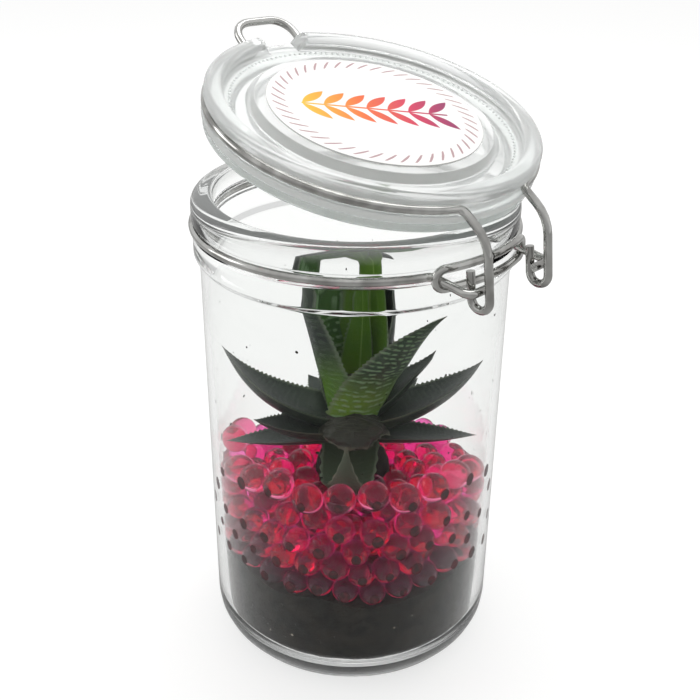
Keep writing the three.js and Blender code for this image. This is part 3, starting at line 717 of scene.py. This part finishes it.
# Every leaf: heading in degrees from +X, then shares: its root's height on the stem, its tip's reach to
# the glass, its tip's height on the plant, its width, and how far out and how high its bend lies. Then the
# angle of half of its fold, below 0 for edges rolled under, and the share of its width left at its tip.
LEAVES = [
    ("heart_right", 100, 0.88, 0.12, 0.88, 0.7, 0.6, 0.5, 0.8, 0.02),
    ("heart_left", 100, 0.8, 0.28, 1.0, 1.35, 0.5, 0.5, 0.8, 0.02),
    ("upright_right", 75, 0.69, 0.34, 0.86, 0.95, 0.7, 0.4, 1.2, 0.02),
    ("upright_left", 208, 0.62, 0.54, 1.03, 1.45, 0.25, 0.6, 1.4, 0.02),
    ("banded", 8, 0.55, 0.745, 0.855, 1.5, 0.34, 0.66, 0.7, 0.02),
    ("right_inner", 62, 0.42, 0.62, 0.5, 0.9, 0.6, 0.4, 0.7, 0.02),
    ("back_left", 158, 0.38, 0.62, 0.52, 0.8, 0.6, 0.3, 0.6, 0.02),
    ("back_right", 112, 0.35, 0.78, 0.5, 0.8, 0.6, 0.3, 0.6, 0.02),
    ("big_left", 229, 0.36, 0.94, 0.55, 1.1, 0.7, 0.2, 0.7, 0.02),
    ("big_right", 47, 0.31, 0.94, 0.45, 1.1, 0.65, 0.25, 0.7, 0.02),
    ("back", 141, 0.27, 0.84, 0.4, 0.8, 0.6, 0.25, 0.6, 0.02),
    ("dry_front", 316, 0.62, 0.46, 0.12, 1.5, 0.8, -0.3, -1.4, 0.4),
    ("left_front", 252, 0.23, 0.78, 0.24, 1.0, 0.65, 0.3, 0.6, 0.02),
    ("front_pale", 310, 0.12, 0.52, 0.16, 0.95, 1.7, -2.5, 0.4, 0.02),
    ("low_left", 240, 0.13, 0.94, 0.065, 0.75, 0.6, 0.5, 0.5, 0.02),
    ("low_right", 32, 0.13, 0.91, 0.1, 0.75, 0.6, 0.5, 0.5, 0.02),
    ("low_back", 160, 0.13, 0.86, 0.125, 0.75, 0.6, 0.5, 0.5, 0.02),
    ("low_back_right", 98, 0.13, 0.86, 0.125, 0.75, 0.6, 0.5, 0.5, 0.02),
]


def leaf_blade(heading, root, reach, tip, width, bend_out, bend_up, fold, blunt):
    """A closed blade along a bent spine. Its UV map keeps the place across it, plus 1 on its underside,
    and the place along it."""
    foot = stem_low.z + root * (stem_high.z - stem_low.z)
    rise = stem_low.z + tip * PLANT_HEIGHT - foot
    start = STEM_RADIUS + (STEM_TOP_RADIUS - STEM_RADIUS) * root - LEAF_ROOT_DEPTH
    end = reach * soil_radius
    bend = start + (end - start) * bend_out
    along = Vector((math.cos(math.radians(heading)), math.sin(math.radians(heading)), 0))
    sideways = Vector((-along.y, along.x, 0))
    teeth = round(math.hypot(end - start, rise) / TOOTH_PITCH)
    mesh = bmesh.new()
    bmesh.ops.create_cone(mesh, cap_ends=True, segments=LEAF_SIDES, radius1=1, radius2=1, depth=1)
    long_edges = [edge for edge in mesh.edges if abs(edge.verts[0].co.z - edge.verts[1].co.z) > 0.5]
    bmesh.ops.subdivide_edges(mesh, edges=long_edges, cuts=2 * teeth - 1)
    mesh.verts.index_update()
    spread = [(vert.co.x, vert.co.y, vert.co.z + 0.5) for vert in mesh.verts]
    for vert in mesh.verts:
        share = vert.co.z + 0.5
        side = vert.co.x
        swell = max(0, 1 - share ** LEAF_TAPER) ** LEAF_POINT + blunt * share
        half = width * LEAF_WIDTH / 2 * swell
        half_fold = fold * (1 - LEAF_UNFOLDING * share)
        angle = side * half_fold
        thick = 0 if vert.co.y > 0 else LEAF_KEEL * width * LEAF_WIDTH * swell * (1 - side * side)
        across = half / half_fold * math.sin(angle) + thick * math.sin(angle)
        lift = half / half_fold * (1 - math.cos(angle)) - thick * math.cos(angle)
        if abs(side) > BLADE_EDGE and round(share * 2 * teeth) % 2:
            tooth = TOOTH_HEIGHT * min(1, swell * 2)
            across += tooth * side * math.cos(angle)
            lift += tooth * side * math.sin(angle)
        spine_out = (1 - share) ** 2 * start + 2 * share * (1 - share) * bend + share * share * end
        spine_up = 2 * share * (1 - share) * rise * bend_up + share * share * rise
        lean_out = 2 * (1 - share) * (bend - start) + 2 * share * (end - bend)
        lean_up = 2 * (1 - share) * rise * bend_up + 2 * share * rise * (1 - bend_up)
        lean = math.hypot(lean_out, lean_up)
        vert.co = along * (spine_out - lift * lean_up / lean) + sideways * across
        vert.co.z = foot + spine_up + lift * lean_out / lean
    spread_map = mesh.loops.layers.uv.new("blade")
    for face in mesh.faces:
        under = sum(spread[vert.index][1] for vert in face.verts) < 0
        for loop in face.loops:
            side, _, share = spread[loop.vert.index]
            loop[spread_map].uv = (side * 0.5 + 0.5 + under, share)
    bmesh.ops.recalc_face_normals(mesh, faces=mesh.faces)
    return mesh


def shrivel(mesh):
    """Wrinkles the blade of a dry leaf."""
    bmesh.ops.subdivide_edges(mesh, edges=mesh.edges, cuts=DRY_CUTS, use_grid_fill=True)
    mesh.normal_update()
    for vert, out in [(vert, vert.normal.copy()) for vert in mesh.verts]:
        lump = DRY_LUMP * lumpy(vert.co, DRY_LUMP_SIZE)
        wrinkle = DRY_WRINKLE * lumpy(vert.co, DRY_WRINKLE_SIZE)
        vert.co += out * (lump + wrinkle)


def leaf_skin(name, root_colour, blade_colour, wart_colour, warts, midline, back_colour, back_warts):
    """Leaf skin from its root colour to its blade colour, with rows of warts and a pale midline on the
    inner face, an underside of its own colour and pale teeth."""
    finish, paint = new_finish(name)
    spread = paint.node("UVMap", {"uv_map": "blade"}, {})
    spot = paint.node("SeparateXYZ", {}, {0: spread}, out="X")
    under = spot.step(1.0, 1.001)
    across = abs(paint.maths("FRACT", spot) - 0.5) * 2
    along = paint.node("SeparateXYZ", {}, {0: spread}, out="Y")
    mottle = paint.grain(5, 3.0)
    rows = along * WART_ROWS + across * across * 1.2 + mottle * 0.8
    row = abs(paint.maths("FRACT", rows) - 0.5) * 2
    grid = paint.node("Mapping", {}, {"Vector": spread, "Scale": (WART_COLUMNS, WART_ROWS, 1)})
    flat_cells = {"voronoi_dimensions": "2D"}
    wart = paint.node("TexVoronoi", flat_cells, {"Vector": grid, "Scale": 1.0}, out="Distance")
    raised = (1 - row.step(0.2, 0.62)) * (1 - wart.step(0.3, 0.62)) * (1 - along.step(0.7, 0.95))
    skin = (along.step(*ROOT_FADE) * 0.9 + mottle * 0.1).tint(root_colour, blade_colour)
    skin = (mottle.step(0.4, 0.7) * 0.3).tint(skin, root_colour)
    skin = (raised * warts).tint(skin, wart_colour)
    skin = ((1 - across.step(0.0, 0.09)) * midline).tint(skin, wart_colour)
    back = (1 - along.step(*ROOT_FADE)).tint(back_colour, root_colour)
    back = (mottle.step(0.35, 0.7) * 0.25).tint(back, BACK_MOTTLE)
    back = (raised * back_warts).tint(back, wart_colour)
    skin = under.tint(skin, back)
    skin = (across.step(0.9, 1.0) * 0.6).tint(skin, TOOTH_COLOUR)
    skin = (along.step(0.93, 1.0) * 0.7).tint(skin, TIP_COLOUR)
    height = raised * warts + mottle * 0.3
    warty = paint.node("Bump", {}, {"Strength": 0.9, "Distance": 0.3 * MM, "Height": height})
    paint.surface(paint.node("BsdfPrincipled", {}, {
        "Base Color": skin, "Roughness": 0.45, "Specular IOR Level": 0.35, "Normal": warty,
    }))
    return finish


dark_green = shade(36, 47, 40)
dark_skin = leaf_skin(
    "dark_leaf", shade(40, 54, 38), dark_green, shade(104, 118, 102),
    warts=0.14, midline=0.0, back_colour=dark_green, back_warts=0.1,
)
banded_skin = leaf_skin(
    "banded_leaf", shade(112, 150, 52), shade(44, 70, 46), shade(150, 182, 138),
    warts=0.8, midline=0.0, back_colour=shade(40, 62, 42), back_warts=0.75,
)
upright_skin = leaf_skin(
    "upright_leaf", shade(104, 146, 50), shade(60, 96, 50), shade(146, 176, 134),
    warts=0.7, midline=0.0, back_colour=dark_green, back_warts=0.1,
)
heart_skin = leaf_skin(
    "heart_leaf", shade(116, 150, 30), shade(84, 126, 30), shade(150, 180, 96),
    warts=0.12, midline=0.7, back_colour=shade(70, 104, 34), back_warts=0.1,
)
pale_skin = leaf_skin(
    "pale_leaf", shade(62, 74, 50), shade(66, 78, 58), shade(104, 116, 94),
    warts=0.2, midline=0.0, back_colour=shade(76, 84, 66), back_warts=0.1,
)
dry_skin = leaf_skin(
    "dry_leaf", shade(42, 46, 34), shade(44, 42, 33), shade(84, 82, 66),
    warts=0.5, midline=0.0, back_colour=shade(44, 42, 33), back_warts=0.3,
)
skins = {
    "heart_right": heart_skin, "heart_left": heart_skin, "banded": banded_skin, "upright_left": upright_skin,
    "front_pale": pale_skin, "dry_front": dry_skin,
}
leaf_slots = {"front_pale": "pale_leaf", "dry_front": "dry_leaf"}
for name, *shape in LEAVES:
    blade = leaf_blade(*shape)
    if name == "dry_front":
        shrivel(blade)
    skin = skins.get(name, dark_skin)
    set_piece(f"blade_{name}", blade, skin, "planted_jar", leaf_slots.get(name, "leaf"), f"leaf_{name}")


# The neck wire: bright zinc-plated spring steel, sprung into the collar's groove. Its two ends turn
# out at the hinge and then in towards each other, as the pins that the lid's hooks hang on.
WIRE_DIAMETER = 2.6
WIRE_ROUNDNESS = 4
WIRE_END_ROUNDING = 0.25
WIRE_MERGE_BELOW = 0.01
WIRE_BEND = 2.6
RING_STEP = math.radians(3)
PIN_SPREAD = 18
PIN_TIP = 11
PIN_BEND_TURN = 0.06
wire_radius = WIRE_DIAMETER / 2
hinge = Vector(frame["joints"][0]["pos_m"]) / MM
neck_wire_radius = GROOVE_RADIUS + wire_radius + SEAT_GAP

steel_finish, paint = new_finish("plated_wire")
drawn = paint.grain(1.2, 4.0)
dull = paint.grain(9, 2.0)
steel_colour = dull.step(0.35, 0.7).tint(shade(200, 200, 197), shade(150, 149, 146))
scuffs = paint.node("Bump", {}, {"Strength": 0.25, "Distance": 0.05 * MM, "Height": drawn})
steel_roughness = dull * 0.05 + drawn * 0.04 + 0.03
paint.surface(paint.node("BsdfPrincipled", {}, {
    "Base Color": steel_colour, "Metallic": 1.0, "Roughness": steel_roughness, "Normal": scuffs,
}))


def wire_mesh(points):
    """Round wire along a path, with its cut ends closed and their edges broken."""
    path = bpy.data.curves.new("wire_path", "CURVE")
    path.dimensions = "3D"
    path.bevel_depth = wire_radius
    path.bevel_resolution = WIRE_ROUNDNESS
    path.use_fill_caps = True
    run = path.splines.new("POLY")
    run.points.add(len(points) - 1)
    for spot, point in zip(run.points, points):
        spot.co = (*point, 1)
    holder = bpy.data.objects.new("wire_path", path)
    data = bpy.data.meshes.new_from_object(holder)
    mesh = bmesh.new()
    mesh.from_mesh(data)
    bpy.data.objects.remove(holder)
    bpy.data.curves.remove(path)
    bpy.data.meshes.remove(data)
    bmesh.ops.remove_doubles(mesh, verts=mesh.verts, dist=WIRE_MERGE_BELOW)
    caps = [face for face in mesh.faces if len(face.verts) > 4]
    rims = [edge for face in caps for edge in face.edges]
    bmesh.ops.bevel(
        mesh, geom=rims, offset=WIRE_END_ROUNDING, offset_type="OFFSET",
        segments=2, profile=0.5, affect="EDGES", material=-1,
    )
    bmesh.ops.recalc_face_normals(mesh, faces=mesh.faces)
    return mesh


def ring_points(radius, z, start, end):
    """Points round the jar's axis from one heading to another."""
    steps = math.ceil(abs(end - start) / RING_STEP)
    angles = [start + (end - start) * i / steps for i in range(steps + 1)]
    return [Vector((radius * math.cos(a), radius * math.sin(a), z)) for a in angles]


turn_out = math.asin(PIN_SPREAD / neck_wire_radius)
ring_start = turn_out + PIN_BEND_TURN
ring_run = ring_points(neck_wire_radius, NECK_WIRE_Z, ring_start, 2 * math.pi - ring_start)
ring_end = Vector((neck_wire_radius * math.cos(turn_out), PIN_SPREAD, NECK_WIRE_Z))


def pin_end(side):
    """The turned end of the neck wire on one side, from its tip to the ring."""
    flip = Vector((1, side, 1))
    return bent([
        (Vector((hinge.x, PIN_TIP, hinge.z)) * flip, 0),
        (Vector((hinge.x, PIN_SPREAD, hinge.z)) * flip, WIRE_BEND),
        (ring_end * flip, WIRE_BEND),
        (ring_run[0 if side > 0 else -1], 0),
    ])[:-1]


neck_wire = wire_mesh(pin_end(1) + ring_run + pin_end(-1)[::-1])
set_piece("neck_spring_wire", neck_wire, steel_finish, "planted_jar", "steel", "neck_wire")


# The tie link: a short length of the same wire bent to a racetrack, which hooks both ends of the neck
# wire together across the hinge. Its two cut ends meet in its upper bar.
LINK_LENGTH = 40
LINK_HEIGHT = 6
LINK_GAP = 0.5
LINK_STEP = 2.0
LINK_TURN_STEPS = 10
LINK_OUT = 4.5
link_radius = BODY_RADIUS + LINK_OUT
link_end = LINK_HEIGHT / 2
link_straight = LINK_LENGTH / 2 - link_end


def on_link(run, rise):
    """A point of the link, laid round the collar."""
    angle = run / link_radius
    return Vector((link_radius * math.cos(angle), link_radius * math.sin(angle), NECK_WIRE_Z + rise))


def straight_run(start, end, rise):
    """Points along one bar of the link."""
    steps = max(1, math.ceil(abs(end - start) / LINK_STEP))
    return [on_link(start + (end - start) * i / steps, rise) for i in range(steps + 1)]


def end_turn(side):
    """Points round one end of the link, from its upper bar to its lower one."""
    angles = [math.pi / 2 - math.pi * i / LINK_TURN_STEPS for i in range(1, LINK_TURN_STEPS)]
    return [on_link(side * (link_straight + link_end * math.cos(a)), link_end * math.sin(a)) for a in angles]


link_points = straight_run(LINK_GAP / 2, link_straight, link_end) + end_turn(1)
link_points += straight_run(link_straight, -link_straight, -link_end) + end_turn(-1)[::-1]
link_points += straight_run(-link_straight, -LINK_GAP / 2, link_end)
set_piece("tie_link", wire_mesh(link_points), steel_finish, "planted_jar", "steel", "hinge_link")


# The lid: pressed glass with a rounded bead round its top, a recess inside it and a groove for its wire.
# A plug wall below fits the jar's mouth. The lid is made as it lies shut and then opened about the hinge.
LID_RADIUS = 51.3
LID_GROOVE_RADIUS = 48.8
FLANGE_BOTTOM = 167.8
LID_GROOVE_BOTTOM = 170.4
LID_GROOVE_TOP = 173.8
LID_TOP = 177.4
BEAD_INNER_RADIUS = 45.7
RECESS_Z = 172.9
PANEL_Z = 175.1
PANEL_RADIUS = 36.5
PANEL_RAMP = 2.2
PANEL_BOTTOM = 169.1
PLUG_RADIUS = 42.5
PLUG_INNER_RADIUS = 36.5
PLUG_BOTTOM = 162.0
PANEL_ROUNDING = 0.8
RECESS_ROUNDING = 1.4
BEAD_ROUNDING = 1.8
LID_GROOVE_LIP_ROUNDING = 0.6
LID_GROOVE_ROUNDING = 1.2
FLANGE_ROUNDING = 0.8
PLUG_ROUNDING = 1.6
PLUG_INNER_ROUNDING = 2.0
NOTCH_HALF = 7
NOTCH_RAMP = 3
NOTCH_REACH = 0.8
LOOP_SWING = math.radians(4.5)
DOT_COUNT = 140
DOT_RADIUS = 0.5
DOT_INSET = 2.2
LID_STEPS = 192
LID_COLOUR = (0.985, 0.992, 0.988, 1)
lid_opening = math.radians(-frame["joints"][0]["range_deg"][0])


def open_lid(mesh):
    """Turns a piece that was made on the shut lid to where the lid stands open."""
    bmesh.ops.rotate(mesh, verts=mesh.verts, cent=hinge, matrix=Matrix.Rotation(lid_opening, 3, "Y"))
    return mesh


lid_glass = clear_glass("lid_glass", LID_COLOUR, ripple_size=9, ripple_depth=0.08, haze=0.04, milk=0.26)
lid = turned(bent(profile(
    (0, PANEL_Z, 0),
    (PANEL_RADIUS, PANEL_Z, PANEL_ROUNDING),
    (PANEL_RADIUS + PANEL_RAMP, RECESS_Z, PANEL_ROUNDING),
    (BEAD_INNER_RADIUS, RECESS_Z, RECESS_ROUNDING),
    (BEAD_INNER_RADIUS, LID_TOP, BEAD_ROUNDING),
    (LID_RADIUS, LID_TOP, BEAD_ROUNDING),
    (LID_RADIUS, LID_GROOVE_TOP, LID_GROOVE_LIP_ROUNDING),
    (LID_GROOVE_RADIUS, LID_GROOVE_TOP, LID_GROOVE_ROUNDING),
    (LID_GROOVE_RADIUS, LID_GROOVE_BOTTOM, LID_GROOVE_ROUNDING),
    (LID_RADIUS, LID_GROOVE_BOTTOM, LID_GROOVE_LIP_ROUNDING),
    (LID_RADIUS, FLANGE_BOTTOM, FLANGE_ROUNDING),
    (PLUG_RADIUS, FLANGE_BOTTOM, FLANGE_ROUNDING),
    (PLUG_RADIUS, PLUG_BOTTOM, PLUG_ROUNDING),
    (PLUG_INNER_RADIUS, PLUG_BOTTOM, PLUG_ROUNDING),
    (PLUG_INNER_RADIUS, PANEL_BOTTOM, PLUG_INNER_ROUNDING),
    (0, PANEL_BOTTOM, 0),
)), LID_STEPS)
for vert in lid.verts:
    swung = Matrix.Rotation(LOOP_SWING, 3, "Z") @ vert.co
    if swung.x < -BEAD_INNER_RADIUS * NOTCH_REACH and vert.co.z > RECESS_Z:
        beside = min(1, max(0, (abs(swung.y) - NOTCH_HALF) / NOTCH_RAMP + 0.5))
        vert.co.z = RECESS_Z + (vert.co.z - RECESS_Z) * beside * beside * (3 - 2 * beside)
for i in range(DOT_COUNT):
    out_to = Matrix.Translation((BEAD_INNER_RADIUS - DOT_INSET, 0, RECESS_Z))
    round_to = Matrix.Rotation(2 * math.pi * i / DOT_COUNT, 4, "Z")
    add_ball(lid, 1, Matrix.Scale(DOT_RADIUS, 4), out_to, round_to)
set_piece("glass_lid", open_lid(lid), lid_glass, "hinged_lid", "glass", "lid")


# The seal ring: a flat ring of clear soft silicone, moulded with rounded edges. It is stretched over the
# plug wall up to the lid's flange, and the shut lid rests with it on the jar's rim.
SEAL_INNER_RADIUS = 42.8
SEAL_OUTER_RADIUS = 50.6
SEAL_BOTTOM = 164.8
SEAL_TOP = 167.5
SEAL_ROUNDING = 0.9
SEAL_IOR = 1.41
seal_finish, paint = new_finish("clear_silicone")
haze = paint.grain(6, 3.0)
milk = haze.step(0.3, 0.7).tint(shade(250, 252, 251), shade(240, 244, 242))
soft = paint.node("BsdfPrincipled", {}, {
    "Base Color": milk, "Roughness": haze * 0.1 + 0.12, "IOR": SEAL_IOR, "Transmission Weight": 0.85,
})
paint.lit_through(soft, GLASS_SHADOW, "Is Shadow Ray", "Is Diffuse Ray")
seal = turned(bent(profile(
    (SEAL_INNER_RADIUS, SEAL_BOTTOM, SEAL_ROUNDING),
    (SEAL_OUTER_RADIUS, SEAL_BOTTOM, SEAL_ROUNDING),
    (SEAL_OUTER_RADIUS, SEAL_TOP, SEAL_ROUNDING),
    (SEAL_INNER_RADIUS, SEAL_TOP, SEAL_ROUNDING),
), closed=True), TURN_STEPS, closed=True)
set_piece("clear_seal", open_lid(seal), seal_finish, "hinged_lid", "seal", "seal_ring")


# The label: a round sticker of coated white paper on the lid's panel, printed with a sprig of leaves
# that runs from yellow to magenta, inside a border of short dusty-pink strokes.
LABEL_RADIUS = 33
LABEL_BOTTOM = 175.05
LABEL_TOP = 175.6
LABEL_ROUNDING = 0.1
LABEL_TURN = math.radians(-58)
TWIG_HALF = 0.5
SPRIG_LEAVES = 7
SPRIG_SPAN = 46
SPRIG_LEAF_SHIFT = 3
SPRIG_LEAF_ANGLE = 48
SPRIG_LEAF_LENGTH = 12
SPRIG_LEAF_WIDTH = 3.6
SPRIG_COLOURS = [
    (0.0, shade(248, 190, 16)),
    (0.4, shade(238, 104, 16)),
    (0.75, shade(208, 14, 76)),
    (1.0, shade(150, 4, 88)),
]
BORDER_STROKES = 44
BORDER_RADIUS = 29.5
BORDER_LENGTH = 4.6
BORDER_SLANT = 0.22
label_finish, paint = new_finish("printed_label")
flat = paint.node("UVMap", {"uv_map": "flat"}, {})
east = paint.node("SeparateXYZ", {}, {0: flat}, out="X") * (2 * LABEL_RADIUS) - LABEL_RADIUS
north = paint.node("SeparateXYZ", {}, {0: flat}, out="Y") * (2 * LABEL_RADIUS) - LABEL_RADIUS


def printed_leaf(east_at, north_at, heading, length, width):
    """1 inside a pointed leaf that starts at a point of the label and runs along a heading."""
    cosine = math.cos(math.radians(heading))
    sine = math.sin(math.radians(heading))
    run = ((east - east_at) * cosine + (north - north_at) * sine) * (1 / length)
    off = abs((north - north_at) * cosine - (east - east_at) * sine)
    inside = run * (1 - run) * (4 * width / 2) - off
    return inside.step(-0.05, 0.25)


sprig = (TWIG_HALF - abs(north)).step(-0.1, 0.2) * (SPRIG_SPAN / 2 - abs(east)).step(0, 0.4)
for i in range(SPRIG_LEAVES):
    stalk_at = SPRIG_SPAN * ((i + 0.5) / SPRIG_LEAVES - 0.5) - SPRIG_LEAF_SHIFT
    for heading in (SPRIG_LEAF_ANGLE, -SPRIG_LEAF_ANGLE):
        sprig = sprig.most(printed_leaf(stalk_at, 0, heading, SPRIG_LEAF_LENGTH, SPRIG_LEAF_WIDTH))
sweep = paint.node("ValToRGB", {"stops": SPRIG_COLOURS}, {0: east * (1 / SPRIG_SPAN) + 0.5})
rim_out = paint.maths("SQRT", east * east + north * north) - BORDER_RADIUS
rim_turn = paint.maths("ARCTAN2", north, east) * (BORDER_STROKES / (2 * math.pi)) + rim_out * BORDER_SLANT
stroke_off = abs(paint.maths("FRACT", rim_turn) - 0.5)
stroke_end = abs(rim_out) * (2 / BORDER_LENGTH)
border = (1 - stroke_end.step(0.75, 1.0)) * (1 - (stroke_off + stroke_end * 0.05).step(0.1, 0.16))
fibre = paint.node("TexNoise", {}, {"Vector": flat, "Scale": 160.0, "Detail": 3.0})
paper = fibre.step(0.35, 0.65).tint(shade(250, 249, 247), shade(244, 243, 240))
printed = (border * 0.8).tint(paper, shade(158, 104, 112))
printed = sprig.tint(printed, sweep)
paint.surface(paint.node("BsdfPrincipled", {}, {
    "Base Color": printed, "Roughness": 0.5, "Coat Weight": 0.1, "Coat Roughness": 0.2,
}))
label = turned(bent(profile(
    (0, LABEL_BOTTOM, 0),
    (LABEL_RADIUS, LABEL_BOTTOM, LABEL_ROUNDING),
    (LABEL_RADIUS, LABEL_TOP, LABEL_ROUNDING),
    (0, LABEL_TOP, 0),
)), TURN_STEPS)
flat_map = label.loops.layers.uv.new("flat")
to_print = Matrix.Rotation(LABEL_TURN, 3, "Z")
for face in label.faces:
    for loop in face.loops:
        spot = to_print @ loop.vert.co / (2 * LABEL_RADIUS)
        loop[flat_map].uv = (spot.x + 0.5, spot.y + 0.5) if face.normal.z > 0.5 else (0, 0)
set_piece("round_label", open_lid(label), label_finish, "hinged_lid", "label", "lid_label")


# The lid wire: the same plated wire, sprung into the lid's groove. It is bent out to a lifting loop
# opposite the hinge, and its two ends come down as arms with hooks round the hinge pins.
HOOK_Y = 13.5
HOOK_BEND = 3.2
HOOK_TAIL = 5.5
HOOK_FOOT = 2.4
HOOK_SLACK = 0.01
ARM_LEG = 15
ARM_LEAN = math.radians(22)
ARM_BEND = 12
ARM_BEND_TURN = 0.09
LOOP_HALF = 11
LOOP_DEPTH = 12
LOOP_BEND = 7
LOOP_BEND_TURN = 0.07
LOOP_LIFT = math.radians(20)
lid_wire_radius = LID_GROOVE_RADIUS + wire_radius + SEAT_GAP
lid_wire_z = (LID_GROOVE_BOTTOM + LID_GROOVE_TOP) / 2
loop_turn = math.asin(LOOP_HALF / lid_wire_radius)
arm_turn = math.asin(HOOK_Y / lid_wire_radius)


def hook_place(out, up, side):
    """A point of a hook, which leans in towards the lid about the hinge pin."""
    lean_x = out * math.cos(ARM_LEAN) - up * math.sin(ARM_LEAN)
    lean_z = up * math.cos(ARM_LEAN) + out * math.sin(ARM_LEAN)
    return Vector((hinge.x + lean_x, side * HOOK_Y, hinge.z + lean_z))


def half_wire(side):
    """Half of the lid wire, from the tail of one hook to the middle of the lifting loop."""
    swing = Matrix.Rotation(-side * LOOP_SWING, 3, "Z")
    last_turn = math.pi - side * LOOP_SWING - loop_turn - LOOP_BEND_TURN
    ring = ring_points(lid_wire_radius, lid_wire_z, arm_turn + ARM_BEND_TURN, last_turn)
    arm_start = Vector((lid_wire_radius * math.cos(arm_turn), HOOK_Y, lid_wire_z))
    loop_start = Vector((-lid_wire_radius * math.cos(loop_turn), LOOP_HALF, lid_wire_z))
    loop_out = LOOP_DEPTH + lid_wire_radius * (1 - math.cos(loop_turn))
    loop_far = -lid_wire_radius * math.cos(loop_turn) - loop_out * math.cos(LOOP_LIFT)
    loop_z = lid_wire_z + loop_out * math.sin(LOOP_LIFT)
    flip = Vector((1, side, 1))
    arm = bent([
        (hook_place(-HOOK_BEND, HOOK_TAIL, side), 0),
        (hook_place(-HOOK_BEND, -HOOK_FOOT - HOOK_BEND, side), HOOK_BEND - HOOK_SLACK),
        (hook_place(HOOK_BEND, -HOOK_FOOT - HOOK_BEND, side), HOOK_BEND - HOOK_SLACK),
        (hook_place(HOOK_BEND, ARM_LEG, side), ARM_BEND),
        (arm_start * flip, WIRE_BEND),
        (ring[0] * flip, 0),
    ])
    loop = bent([
        (ring[-1] * flip, 0),
        (swing @ loop_start * flip, WIRE_BEND),
        (swing @ Vector((loop_far, LOOP_HALF, loop_z)) * flip, LOOP_BEND),
        (swing @ Vector((loop_far, 0, loop_z)) * flip, 0),
    ])
    return arm[:-1] + [point * flip for point in ring] + loop[1:]


lid_wire = wire_mesh(half_wire(1) + half_wire(-1)[-2::-1])
set_piece("lid_spring_wire", open_lid(lid_wire), steel_finish, "hinged_lid", "steel", "lid_wire")
